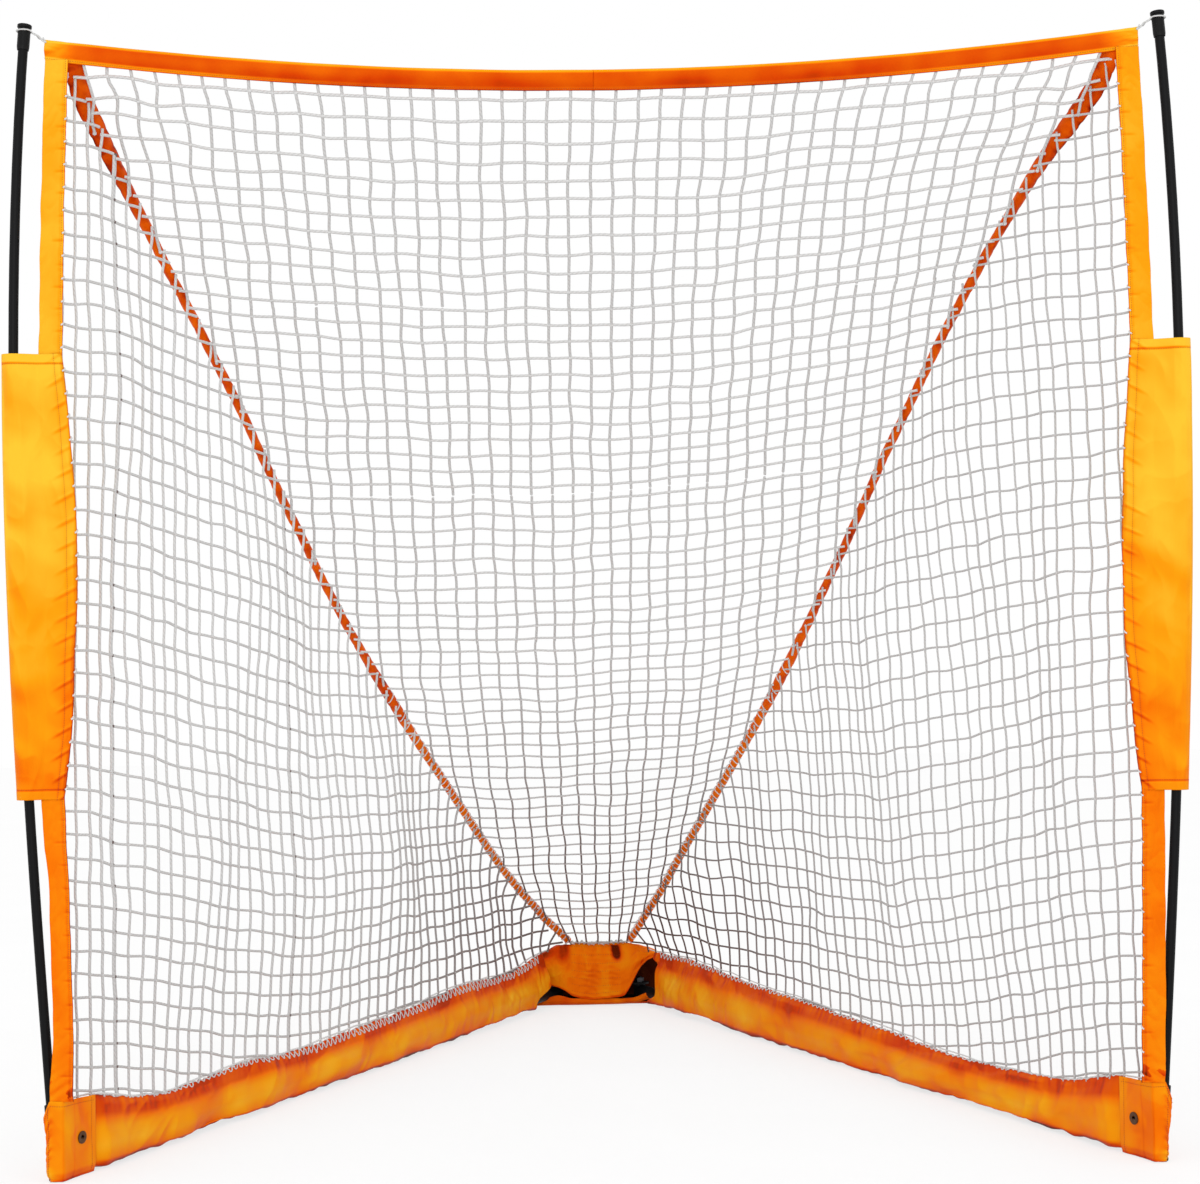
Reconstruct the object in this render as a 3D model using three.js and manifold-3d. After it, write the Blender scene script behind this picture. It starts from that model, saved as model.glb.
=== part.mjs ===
// A portable lacrosse goal: two bowed poles stand in a folding V-shaped steel base, and a net with
// cloth edging hangs between them. Millimetres, +Z up, the mouth facing -Y, symmetric about x = 0.
// Everything is laid out from the mouth (y = 0) back to the hub, and centred on its footprint at the end.
import * as THREE from "three";
import { mergeGeometries, mergeVertices } from "three/addons/utils/BufferGeometryUtils.js";
import Module from "manifold-3d";

const wasm = await Module();
wasm.setup();

// Overall layout
const goalHeight = 2000; // floor to the top of a pole
const goalDepth = 1829; // mouth to the hub pivots
const fitGap = 0.3; // between pieces that touch
const cutOverrun = 4; // how far a cutting tool runs past the wall it cuts

// Bowed pole, as half widths and forward reaches at four heights spaced evenly up the goal
const poleFootHalf = 950;
const poleLowerBow = 41; // beyond the foot's half width
const poleUpperBow = 87;
const poleTopBow = 40;
const poleLowerHalf = poleFootHalf + poleLowerBow;
const poleUpperHalf = poleFootHalf + poleUpperBow;
const poleTopHalf = poleFootHalf + poleTopBow;
const poleBowForward = 27;
const poleRadius = 8.5;
const poleTopRecess = 6; // the cap's roof over the end of the pole
const poleSeatPlay = 1.2; // under the slanting ends of the pole and its socket, above the foot plug
const ferruleHeight = 1010; // where the two pole sections meet
const ferruleLength = 120;
const ferruleWall = 1.5;
const ferruleStop = 3; // the ferrule's inner ring between the two pole ends

// Pole cap and the cord that ties the net's corner to it
const capLength = 45;
const capWall = 1.8;
const capPlay = 0.5; // the pole bends a little inside the cap
const capRimReach = 1.6;
const capRimHeight = 6;
const cordRadius = 1.75;
const cordKnotRadius = 4;
const cordDrop = 5; // cord below the cap's rim
const cordOpenAngle = 0.6; // half the loop's opening, on the side of the knot

// Base tubes, in two telescoping lengths a side
const tubeHeight = 28; // axis of the base tubes above the floor
const tubeRadius = 14;
const tubeWall = 1.5;
const tubeOverlap = 80;
const rearTubeLength = 1075;
const socketHeight = 130;
const socketWall = 2.5;
const socketPlay = 0.4;
const footRadius = 13;
const footHeight = 6;
const footPlugHeight = 12;
const footPlugRadius = 8;

// Snap button that locks the two base tubes
const buttonRadius = 4;
const buttonProud = 2.5;
const buttonTravel = 4.3;
const buttonFlangeRadius = 6;
const buttonFlangeHeight = 1.6;
const buttonFlangeTop = 8.2; // above the tube's axis
const buttonSetback = 40; // from the rear tube's open end
const springWidth = 10;
const springThickness = 0.8;
const springLength = 58;

// Hub that the two base tubes fold on
const pivotHalf = 105;
const plateThickness = 4;
const plateReach = 24; // plate edge beyond a pivot
const lowerPlateHeight = 8; // underside of the lower plate above the floor
const bushRadius = 15;
const bushHeight = 31.4;
const boltRadius = 6;
const boltHeadRadius = 11;
const boltHeadHeight = 5;
const nutRadius = 11;
const nutHeight = 10;
const boltTail = 3;
const padRadius = 20;
const webSetback = 20;
const webThickness = 4;
const webHalf = 70;
const slotHalf = 35; // lightening slot between the pivots
const slotRadius = 8;

// Cloth and webbing
const clothThickness = 2;
const webbingThickness = 2.5;
const bandWidth = 40;
const bandFootInset = 14; // side band's centre line in from the pole's half widths
const bandLowerInset = 39;
const bandUpperInset = 85;
const bandTopInset = 55;
const bandFootHalf = poleFootHalf - bandFootInset;
const bandLowerHalf = poleLowerHalf - bandLowerInset;
const bandUpperHalf = poleUpperHalf - bandUpperInset;
const bandTopHalf = poleTopHalf - bandTopInset;
const bandFootForward = 20;
const bandSwellForward = 26;
const bandTopForward = 2;
const topBandInset = 35; // its ends in from the pole's top
const topBandHalf = poleTopHalf - topBandInset;
const topBandWidth = 36;
const topBandDrop = 63; // its lower edge at the corners, below the pole's top
const topBandFoot = goalHeight - topBandDrop;
const topBandSag = 72;
const topBandTilt = 25 * (Math.PI / 180);
const strapWidth = 38;

// Cloth sleeve that ties the side band to the pole at mid-height
const sleeveFoot = 646;
const sleeveTop = 1421;
const sleeveOuterReach = 20; // beyond the pole's axis
const sleeveInnerEndInset = 23; // inner edge at the sleeve's two ends, in from the pole's foot
const sleeveInnerMidInset = 48;
const sleeveInnerEndHalf = poleFootHalf - sleeveInnerEndInset;
const sleeveInnerMidHalf = poleFootHalf - sleeveInnerMidInset;
const sleeveHalfThickness = 17;
const sleeveTabHalf = 3;
const sleeveFold = 2;

// Cloth skirt round each base tube
const skirtRearHeight = 136; // at the hub
const skirtWaistHeight = 91;
const skirtFrontHeight = 138; // at the corner pocket
const skirtWaistShare = 0.8; // of its length from the hub
const skirtRearStart = 92; // from the pivot
const skirtHalfWidth = 24;
const skirtLean = 12; // how far the top leans in at the mouth
const skirtClear = 0.5; // above the floor
const skirtFold = 5;
const skirtFoldLength = 240;

// Corner pocket over the pole socket, with its eyelet
const pocketHeight = 142; // on its inner side, where the side band starts
const pocketLength = 78; // back from the pole
const pocketOuterHeight = 100;
const pocketFront = 20;
const pocketInner = 23;
const pocketCorner = 7;
const eyeletSetback = 38;
const eyeletHeight = 68;
const eyeletRadius = 11;
const eyeletBore = 4.5;
const eyeletBarrelWall = 1.2;
const eyeletFlange = 1.2;

// Cloth cover over the hub, below the foot of the back net
const coverTop = 152;
const coverTopHalf = 70;
const coverHalf = 128;
const coverWingTop = 100;
const coverWingFoot = 62;
const coverFoot = 4;
const coverFront = 78; // ahead of the pivots
const coverWingFront = 54;
const coverRear = 38; // behind the pivots
const coverShoulderShare = 0.96; // share of the height beside the ridge
const coverFrontShare = 0.55;
const coverRearShare = 0.8;

// Net, with a coarser mesh than the real one so that its gaps can be counted
const netCell = 185;
const netStrand = 9;
const netThickness = 3;
const netBorder = 9;
const netLeastGap = 14;
const netHubHalf = 88;
const netHubSetback = 12;

// Smoothness of round and swept pieces
const fineSides = 20;
const tubeSides = 16;
const cordSides = 8;
const cordSteps = 26;
const cordLoopSteps = 12;
const poleSteps = 12;
const ferruleSteps = 4;
const socketSteps = 2;
const bandSteps = 8;
const topBandSteps = 24;
const sleeveSteps = 10;
const skirtSteps = 24;
const coverSteps = 12;

// Finishes
const finish = (color, roughness, metalness) => ({ color, roughness, metalness });
const fibreglass = finish(0x161719, 0.3, 0);
const plasticBlack = finish(0x1a1a1b, 0.5, 0);
const steelBlack = finish(0x1b1b1c, 0.45, 0.6);
const steelZinc = finish(0xb9bcc0, 0.35, 1);
const rubberBlack = finish(0x151515, 0.9, 0);
const clothOrange = finish(0xff8a00, 0.5, 0);
const clothRed = finish(0xf04a05, 0.6, 0);
const cordWhite = finish(0xf2f2f0, 0.8, 0);
const eyeletMetal = finish(0xa08a70, 0.3, 1);

const goal = new THREE.Group();
const up = new THREE.Vector3(0, 0, 1);
const vec = (x, y, z) => new THREE.Vector3(x, y, z);
const mix = THREE.MathUtils.lerp;
const clampShare = (value) => THREE.MathUtils.clamp(value, 0, 1);

// Solids and geometry
function solidOf(geometry) {
  const bare = geometry.clone();
  bare.deleteAttribute("normal");
  bare.deleteAttribute("uv");
  const merged = mergeVertices(bare);
  const mesh = new wasm.Mesh({
    numProp: 3,
    vertProperties: merged.getAttribute("position").array,
    triVerts: Uint32Array.from(merged.getIndex().array),
  });
  return new wasm.Manifold(mesh);
}

function geometryOf(solid) {
  const mesh = solid.getMesh();
  const geometry = new THREE.BufferGeometry();
  geometry.setAttribute("position", new THREE.BufferAttribute(mesh.vertProperties, 3));
  geometry.setIndex(new THREE.BufferAttribute(mesh.triVerts, 1));
  geometry.computeVertexNormals();
  return geometry;
}

const cut = (geometry, ...tools) =>
  geometryOf(tools.reduce((solid, tool) => solid.subtract(solidOf(tool)), solidOf(geometry)));

const join = (geometry, other) => geometryOf(solidOf(geometry).add(solidOf(other)));

// Six times the signed volume: negative where the faces point inwards.
function signedVolume(positions, index) {
  const [a, b, c] = [vec(), vec(), vec()];
  let volume = 0;
  for (let i = 0; i < index.length; i += 3) {
    a.fromArray(positions, 3 * index[i]);
    b.fromArray(positions, 3 * index[i + 1]);
    c.fromArray(positions, 3 * index[i + 2]);
    volume += a.dot(b.cross(c));
  }
  return volume;
}

// A closed mesh from shared points and triangles, turned so that its faces point out.
function closedMesh(points, triangles) {
  const positions = points.flatMap((p) => p.toArray());
  const flip = signedVolume(positions, triangles) < 0;
  const index = flip ? triangles.toReversed() : triangles;
  const geometry = new THREE.BufferGeometry();
  geometry.setAttribute("position", new THREE.Float32BufferAttribute(positions, 3));
  geometry.setIndex(index);
  geometry.computeVertexNormals();
  return geometry;
}

// The same piece on the other side of the goal.
function mirrored(geometry) {
  const bare = geometry.clone();
  bare.deleteAttribute("normal");
  bare.deleteAttribute("uv");
  const merged = mergeVertices(bare);
  merged.scale(-1, 1, 1);
  merged.setIndex(Array.from(merged.getIndex().array).toReversed());
  merged.computeVertexNormals();
  return merged;
}

function add(name, geometry, material) {
  const mesh = new THREE.Mesh(geometry, new THREE.MeshStandardMaterial(material));
  mesh.name = name;
  goal.add(mesh);
}

function addPair(name, geometry, material) {
  add("right_" + name, geometry, material);
  add("left_" + name, mirrored(geometry), material);
}

// Cloth of even thickness over a grid of points. A wrapped grid closes on itself across its rows.
function sheet(grid, thickness, wrapped = false) {
  const rows = grid.length;
  const across = grid[0].length;
  const normalAt = (i, j) => {
    const along = grid[Math.min(i + 1, rows - 1)][j].clone().sub(grid[Math.max(i - 1, 0)][j]);
    const next = wrapped ? (j + 1) % across : Math.min(j + 1, across - 1);
    const before = wrapped ? (j - 1 + across) % across : Math.max(j - 1, 0);
    return along.cross(grid[i][next].clone().sub(grid[i][before])).normalize();
  };
  const face = (side) =>
    grid.flatMap((row, i) =>
      row.map((p, j) => p.clone().addScaledVector(normalAt(i, j), (side * thickness) / 2)),
    );
  const points = [...face(1), ...face(-1)];
  const triangles = [];
  const quad = (a, b, c, d) => triangles.push(a, b, c, a, c, d);
  const front = (i, j) => i * across + (j % across);
  const back = (i, j) => rows * across + front(i, j);
  const last = wrapped ? across : across - 1;
  for (let i = 0; i < rows - 1; i++) {
    for (let j = 0; j < last; j++) {
      quad(front(i, j), front(i + 1, j), front(i + 1, j + 1), front(i, j + 1));
      quad(back(i, j), back(i, j + 1), back(i + 1, j + 1), back(i + 1, j));
    }
    if (!wrapped) {
      quad(front(i, 0), back(i, 0), back(i + 1, 0), front(i + 1, 0));
      quad(front(i, last), front(i + 1, last), back(i + 1, last), back(i, last));
    }
  }
  for (let j = 0; j < last; j++) {
    quad(front(0, j), front(0, j + 1), back(0, j + 1), back(0, j));
    quad(front(rows - 1, j), back(rows - 1, j), back(rows - 1, j + 1), front(rows - 1, j + 1));
  }
  return closedMesh(points, triangles);
}

const rowOf = (steps, pointAt) => Array.from({ length: steps + 1 }, (_, i) => pointAt(i / steps));

function circle(radius, bore = 0) {
  const shape = new THREE.Shape().absarc(0, 0, radius, 0, 2 * Math.PI);
  if (bore) shape.holes.push(new THREE.Path().absarc(0, 0, bore, 0, 2 * Math.PI));
  return shape;
}

const prism = (shape, depth, sides = tubeSides) =>
  new THREE.ExtrudeGeometry(shape, { depth, bevelEnabled: false, curveSegments: sides / 2 });

const swept = (shape, extrudePath, steps, sides) =>
  new THREE.ExtrudeGeometry(shape, { extrudePath, steps, bevelEnabled: false, curveSegments: sides / 2 });

// A turned piece from [radius, height] pairs, standing on +Z.
function turned(profile, sides = fineSides) {
  const points = profile.map(([radius, height]) => new THREE.Vector2(radius, height));
  const lathe = new THREE.LatheGeometry(points, sides);
  lathe.rotateX(Math.PI / 2);
  return closedTurn(lathe);
}

// A lathe's seam and poles merged, with its faces pointing out.
function closedTurn(lathe) {
  lathe.deleteAttribute("normal");
  lathe.deleteAttribute("uv");
  const merged = mergeVertices(lathe);
  const index = Array.from(merged.getIndex().array);
  const solid = [];
  for (let i = 0; i < index.length; i += 3) {
    const [a, b, c] = index.slice(i, i + 3);
    if (a !== b && b !== c && c !== a) solid.push(a, b, c);
  }
  const array = merged.getAttribute("position").array;
  const points = Array.from({ length: array.length / 3 }, (_, i) => vec().fromArray(array, 3 * i));
  return closedMesh(points, solid);
}

// The bowed pole's axis. Its height rises evenly, so a share of the curve is a share of the height.
const poleAxis = new THREE.CubicBezierCurve3(
  vec(poleFootHalf, 0, 0),
  vec(poleLowerHalf, -poleBowForward, goalHeight / 3),
  vec(poleUpperHalf, -poleBowForward, (2 * goalHeight) / 3),
  vec(poleTopHalf, 0, goalHeight),
);
const poleAt = (height) => poleAxis.getPoint(clampShare(height / goalHeight));

class Stretch extends THREE.Curve {
  constructor(curve, from, to) {
    super();
    Object.assign(this, { curve, from, to });
  }
  getPoint(share, target = vec()) {
    return target.copy(this.curve.getPoint(mix(this.from, this.to, share)));
  }
}
const poleStretch = (from, to) => new Stretch(poleAxis, from / goalHeight, to / goalHeight);

// Frame of a base tube: u runs from the pivot to the pole, v points out of the goal, z is up.
const tubeReach = Math.hypot(poleFootHalf - pivotHalf, goalDepth);
const tubeDirection = vec(poleFootHalf - pivotHalf, -goalDepth, 0).normalize();
const tubeOutward = up.clone().cross(tubeDirection);
const tubeFrame = new THREE.Matrix4()
  .makeBasis(tubeDirection, tubeOutward, up)
  .setPosition(pivotHalf, goalDepth, 0);
const onTube = (u, v, z) => vec(u, v, z).applyMatrix4(tubeFrame);
const alongTube = new THREE.Matrix4().makeRotationY(Math.PI / 2);

function baseTube(from, to, radius) {
  const tube = prism(circle(radius, radius - tubeWall), to - from);
  return tube.applyMatrix4(alongTube).translate(from, 0, tubeHeight);
}

// Side band's centre line, from the corner pocket up to the top band.
const bandAxis = new THREE.CubicBezierCurve3(
  vec(bandFootHalf, -bandFootForward, pocketHeight),
  vec(bandLowerHalf, -bandSwellForward, mix(pocketHeight, topBandFoot, 1 / 3)),
  vec(bandUpperHalf, -bandSwellForward, mix(pocketHeight, topBandFoot, 2 / 3)),
  vec(bandTopHalf, -bandTopForward, topBandFoot),
);
const bandAt = (height) =>
  bandAxis.getPoint(clampShare((height - pocketHeight) / (topBandFoot - pocketHeight)));

// Plane of the back net: x across, w down the slope from the top band's lower edge to the hub.
const slopeStart = vec(0, 0, topBandFoot);
const slopeEnd = vec(0, goalDepth - netHubSetback, coverTop);
const slopeLength = slopeStart.distanceTo(slopeEnd);
const slopeDirection = slopeEnd.clone().sub(slopeStart).normalize();
const slopeNormal = vec(1, 0, 0).cross(slopeDirection);
const slopeFrame = new THREE.Matrix4()
  .makeBasis(vec(1, 0, 0), slopeDirection, slopeNormal)
  .setPosition(slopeStart);
const onSlope = (x, w, out = 0) => vec(x, w, out).applyMatrix4(slopeFrame);

// Plane of a side net: it hangs from the pivot's axis to the side band.
const sideNetMouth = bandAt((pocketHeight + topBandFoot) / 4);
const sideDirection = vec(sideNetMouth.x - pivotHalf, sideNetMouth.y - goalDepth, 0).normalize();
const sideOutward = up.clone().cross(sideDirection);
const sideFrame = new THREE.Matrix4()
  .makeBasis(sideDirection, up, sideOutward.clone().negate())
  .setPosition(pivotHalf, goalDepth, 0);
const sideReach = (y) => (goalDepth - y) / -sideDirection.y;
const sideHalf = (y) => pivotHalf + sideReach(y) * sideDirection.x;
const slopeHeight = (y) => topBandFoot + (y * slopeDirection.z) / slopeDirection.y;
const seamHalf = (w) => sideHalf(w * slopeDirection.y);

// Poles, ferrules and caps
function pole(from, to) {
  return swept(circle(poleRadius), poleStretch(from, to), poleSteps, tubeSides);
}

function addPoles() {
  const seat = footHeight + footPlugHeight + poleSeatPlay;
  addPair("pole_lower", pole(seat, ferruleHeight - ferruleStop / 2), fibreglass);
  addPair("pole_upper", pole(ferruleHeight + ferruleStop / 2, goalHeight - poleTopRecess), fibreglass);
}

function addFerrules() {
  const inner = poleRadius + fitGap;
  const foot = ferruleHeight - ferruleLength / 2;
  const ferrule = swept(
    circle(inner + ferruleWall, inner),
    poleStretch(foot, foot + ferruleLength),
    ferruleSteps,
    tubeSides,
  );
  addPair("pole_ferrule", ferrule, steelZinc);
}

// Turns a piece that stands at the origin so that it stands on the pole at a height.
function onPole(geometry, height) {
  const tangent = poleAxis.getTangent(height / goalHeight);
  const turn = new THREE.Matrix4().makeRotationFromQuaternion(
    new THREE.Quaternion().setFromUnitVectors(up, tangent),
  );
  return geometry.applyMatrix4(turn.setPosition(poleAt(height)));
}

const capBore = poleRadius + capPlay;
const capRadius = capBore + capWall;

function addCaps() {
  const rimFoot = capLength - capRimHeight;
  const bevel = capRimReach / 2;
  const roof = capLength - poleTopRecess + fitGap;
  const profile = [
    [capBore, 0],
    [capRadius - bevel, 0],
    [capRadius, capRimHeight],
    [capRadius, rimFoot],
    [capRadius + capRimReach, rimFoot + bevel],
    [capRadius + capRimReach, capLength - bevel],
    [capRadius + bevel, capLength],
    [0, capLength],
    [0, roof],
    [capBore, roof],
    [capBore, 0],
  ];
  const cap = turned(profile).translate(0, 0, -capLength);
  addPair("pole_cap", onPole(cap, goalHeight), plasticBlack);
}

// A loop of cord round the cap, knotted at the corner of the top band.
function addCornerCords() {
  const height = goalHeight - capRimHeight - cordDrop;
  const centre = poleAt(height);
  const radius = capRadius + cordRadius + fitGap;
  const knot = vec(topBandHalf + cordKnotRadius + fitGap, -bandTopForward, topBandFoot + topBandWidth);
  knot.z -= cordKnotRadius;
  const loop = rowOf(cordLoopSteps, (share) => {
    const angle = Math.PI + mix(cordOpenAngle, 2 * Math.PI - cordOpenAngle, share);
    return vec(centre.x + radius * Math.cos(angle), centre.y + radius * Math.sin(angle), centre.z);
  });
  const route = new THREE.CatmullRomCurve3([knot, ...loop, knot], false, "centripetal");
  const cord = swept(circle(cordRadius), route, cordSteps, cordSides);
  const ball = new THREE.SphereGeometry(cordKnotRadius, cordSides, cordSides / 2);
  addPair("corner_cord", join(cord, ball.translate(knot.x, knot.y, knot.z)), cordWhite);
}

// Base tubes, sockets and feet
function addBaseTubes() {
  const innerRadius = tubeRadius - tubeWall - fitGap;
  const rearEnd = bushRadius + rearTubeLength;
  const buttonAt = rearEnd - buttonSetback;
  const buttonHole = prism(circle(buttonRadius + fitGap), tubeRadius + cutOverrun, tubeSides);
  buttonHole.translate(buttonAt, 0, tubeHeight);
  const bushHole = prism(circle(bushRadius + fitGap), goalHeight, fineSides);
  const rear = cut(baseTube(bushRadius / 2, rearEnd, tubeRadius), buttonHole, bushHole);
  addPair("arm_rear_tube", rear.applyMatrix4(tubeFrame), steelBlack);

  const front = baseTube(rearEnd - tubeOverlap, tubeReach, innerRadius);
  const socketOuter = poleRadius + socketPlay + socketWall;
  const socketHole = swept(circle(socketOuter + fitGap), poleStretch(0, socketHeight), socketSteps, fineSides);
  const coped = cut(cut(front, buttonHole).applyMatrix4(tubeFrame), socketHole);
  addPair("arm_front_tube", largestPiece(coped), steelBlack);
  addButton(buttonAt, innerRadius - tubeWall);
}

// What is left beyond a cope is scrap.
function largestPiece(geometry) {
  const pieces = solidOf(geometry).decompose();
  return geometryOf(pieces.reduce((a, b) => (a.volume() > b.volume() ? a : b)));
}

function addButton(at, bore) {
  const flangeFoot = buttonFlangeTop - buttonFlangeHeight;
  const top = tubeRadius + buttonProud;
  const dome = buttonRadius / 4;
  const profile = [
    [0, flangeFoot],
    [buttonFlangeRadius, flangeFoot],
    [buttonFlangeRadius, buttonFlangeTop],
    [buttonRadius, buttonFlangeTop],
    [buttonRadius, top - dome],
    [buttonRadius - dome, top],
    [0, top],
  ];
  const button = turned(profile, tubeSides).translate(at, 0, tubeHeight);
  addPair("snap_button", button.applyMatrix4(tubeFrame), steelZinc);

  // A folded leaf: its upper leg lies under the button, its lower leg on the floor of the tube.
  const half = springWidth / 2;
  const upper = tubeHeight + flangeFoot - fitGap - springThickness / 2;
  const lower = tubeHeight - Math.sqrt(bore ** 2 - half ** 2) + fitGap + springThickness / 2;
  const bend = springThickness * 2;
  const leaf = [
    [at + buttonFlangeRadius, upper],
    [at - buttonFlangeRadius, upper],
    [at - springLength + bend, lower + 2 * bend],
    [at - springLength, lower + bend],
    [at - springLength + bend, lower],
    [at, lower],
  ];
  const grid = leaf.map(([u, z]) => [onTube(u, -half, z), onTube(u, half, z)]);
  addPair("button_spring", sheet(grid, springThickness), steelZinc);
}

function addSocketsAndFeet() {
  const bore = poleRadius + socketPlay;
  const socket = swept(
    circle(bore + socketWall, bore),
    poleStretch(footHeight + poleSeatPlay, socketHeight),
    socketSteps,
    fineSides,
  );
  addPair("pole_socket", socket, steelBlack);

  const plugTop = footHeight + footPlugHeight;
  const bevel = footHeight / 4;
  const profile = [
    [0, 0],
    [footRadius - bevel, 0],
    [footRadius, bevel],
    [footRadius, footHeight],
    [footPlugRadius, footHeight],
    [footPlugRadius, plugTop],
    [0, plugTop],
  ];
  const foot = poleAt(footHeight);
  addPair("foot_plug", turned(profile).translate(foot.x, foot.y, 0), rubberBlack);
}

// Hub: two plates and a web, with a bolt, nut, bush and rubber pad at each pivot
const bushFoot = lowerPlateHeight + plateThickness + fitGap;
const upperPlateHeight = bushFoot + bushHeight + fitGap;

function hubPlate(height) {
  const shape = new THREE.Shape();
  shape.absarc(pivotHalf, 0, plateReach, -Math.PI / 2, Math.PI / 2);
  shape.absarc(-pivotHalf, 0, plateReach, Math.PI / 2, (3 * Math.PI) / 2);
  for (const side of [1, -1]) {
    shape.holes.push(new THREE.Path().absarc(side * pivotHalf, 0, boltRadius + fitGap, 0, 2 * Math.PI));
  }
  const slot = new THREE.Path().absarc(slotHalf, 0, slotRadius, -Math.PI / 2, Math.PI / 2);
  slot.absarc(-slotHalf, 0, slotRadius, Math.PI / 2, (3 * Math.PI) / 2);
  shape.holes.push(slot);
  return prism(shape, plateThickness, fineSides).translate(0, goalDepth, height);
}

function addHub() {
  add("hub_plate_lower", hubPlate(lowerPlateHeight), steelBlack);
  add("hub_plate_upper", hubPlate(upperPlateHeight), steelBlack);
  const web = new THREE.BoxGeometry(2 * webHalf, webThickness, bushHeight);
  add("hub_web", web.translate(0, goalDepth + webSetback, bushFoot + bushHeight / 2), steelBlack);

  const toPivot = (geometry, height) => geometry.translate(pivotHalf, goalDepth, height);
  const bush = prism(circle(bushRadius, boltRadius + fitGap), bushHeight, fineSides);
  addPair("pivot_bush", toPivot(bush, bushFoot), steelBlack);

  const headTop = lowerPlateHeight - fitGap;
  const nutFoot = upperPlateHeight + plateThickness + fitGap;
  const tail = nutFoot + nutHeight + boltTail;
  const boltProfile = [
    [0, headTop - boltHeadHeight],
    [boltHeadRadius, headTop - boltHeadHeight],
    [boltHeadRadius, headTop],
    [boltRadius, headTop],
    [boltRadius, tail - boltTail / 2],
    [boltRadius - boltTail / 2, tail],
    [0, tail],
  ];
  addPair("hub_bolt", toPivot(turned(boltProfile), 0), steelZinc);

  const hexagon = new THREE.Shape(
    Array.from({ length: 6 }, (_, i) => {
      const angle = (i * Math.PI) / 3;
      return new THREE.Vector2(nutRadius * Math.cos(angle), nutRadius * Math.sin(angle));
    }),
  );
  hexagon.holes.push(new THREE.Path().absarc(0, 0, boltRadius + fitGap, 0, 2 * Math.PI));
  addPair("hub_nut", toPivot(prism(hexagon, nutHeight, fineSides), nutFoot), steelZinc);

  const recess = headTop - boltHeadHeight - fitGap;
  const padProfile = [
    [0, 0],
    [padRadius, 0],
    [padRadius, headTop],
    [boltHeadRadius + fitGap, headTop],
    [boltHeadRadius + fitGap, recess],
    [0, recess],
  ];
  addPair("hub_pad", toPivot(turned(padProfile), 0), rubberBlack);
}

// Bands of webbing
function bandRow(height) {
  const centre = bandAt(height);
  return [
    vec(centre.x - bandWidth / 2, centre.y, height),
    vec(centre.x + bandWidth / 2, centre.y, height),
  ];
}

function addSideBands() {
  const upper = rowOf(bandSteps, (share) => bandRow(mix(sleeveTop + fitGap, topBandFoot - fitGap, share)));
  const lower = rowOf(bandSteps, (share) => bandRow(mix(pocketHeight + fitGap, sleeveFoot - fitGap, share)));
  addPair("side_band_upper", sheet(upper, webbingThickness), clothOrange);
  addPair("side_band_lower", sheet(lower, webbingThickness), clothOrange);
}

const sagAt = (x) => topBandSag * clampShare(1 - (x / topBandHalf) ** 2);

function addTopBand() {
  const grid = rowOf(topBandSteps, (share) => {
    const x = mix(-topBandHalf, topBandHalf, share);
    const sag = sagAt(x);
    const tilt = (topBandTilt * sag) / topBandSag;
    const foot = onSlope(x, sag);
    const top = foot.clone().add(vec(0, -Math.sin(tilt) * topBandWidth, Math.cos(tilt) * topBandWidth));
    return [foot, top];
  });
  add("top_band", sheet(grid, webbingThickness), clothOrange);
}

function addStraps() {
  const start = strapWidth / 2;
  const end = slopeLength - strapWidth / 2;
  const across = (seamHalf(start) - seamHalf(end)) / (end - start);
  const half = (strapWidth / 2) * Math.hypot(1, across);
  const grid = rowOf(bandSteps, (share) => {
    const w = mix(start, end, share);
    return [onSlope(seamHalf(w) - half, w), onSlope(seamHalf(w) + half, w)];
  });
  addPair("diagonal_strap", sheet(grid, webbingThickness), clothRed);
}

// Section of the sleeve from its outer edge to its inner one: [share of width, share of thickness]
const sleeveSectionShares = [
  [0, 0],
  [0.04, 0.6],
  [0.14, 1],
  [0.27, 0.95],
  [0.42, 0.5],
  [0.58, 0],
  [1, 0],
];

function sleeveRow(share) {
  const height = mix(sleeveFoot, sleeveTop, share);
  const axis = poleAt(height);
  const outer = axis.x + sleeveOuterReach;
  const belly = 4 * share * (1 - share);
  const inner = mix(sleeveInnerEndHalf, sleeveInnerMidHalf, belly);
  const puff = sleeveHalfThickness - sleeveTabHalf;
  const point = ([across, thick], side) => {
    const fold = sleeveFold * thick * Math.sin(2 * Math.PI * (4 * share + across));
    const centre = mix(axis.y, bandAt(height).y, clampShare(2 * across));
    const edge = across === 0 ? 0 : sleeveTabHalf;
    return vec(mix(outer, inner, across), centre + side * (edge + puff * thick + fold), height);
  };
  const front = sleeveSectionShares.map((shares) => point(shares, -1));
  const rear = sleeveSectionShares.slice(1).map((shares) => point(shares, 1));
  return [...front, ...rear.reverse()];
}

function addSleeves() {
  addPair("pole_sleeve", sheet(rowOf(sleeveSteps, sleeveRow), clothThickness, true), clothOrange);
}

// Section of the skirt from its foot up one side: [share of half width, share of height]
const skirtSectionShares = [
  [0.6, 0],
  [1, 0.16],
  [0.86, 0.36],
  [0.34, 0.64],
  [0.14, 1],
];
const skirtFrontEnd = tubeReach - pocketLength - fitGap;
const skirtTopHeight = (u) => {
  const share = clampShare((u - skirtRearStart) / (skirtFrontEnd - skirtRearStart));
  const rear = clampShare(1 - share / skirtWaistShare);
  const front = clampShare((share - skirtWaistShare) / (1 - skirtWaistShare));
  const risen = mix(skirtWaistHeight, skirtRearHeight, rear ** 2);
  return mix(risen, skirtFrontHeight, front ** 2);
};

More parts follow.
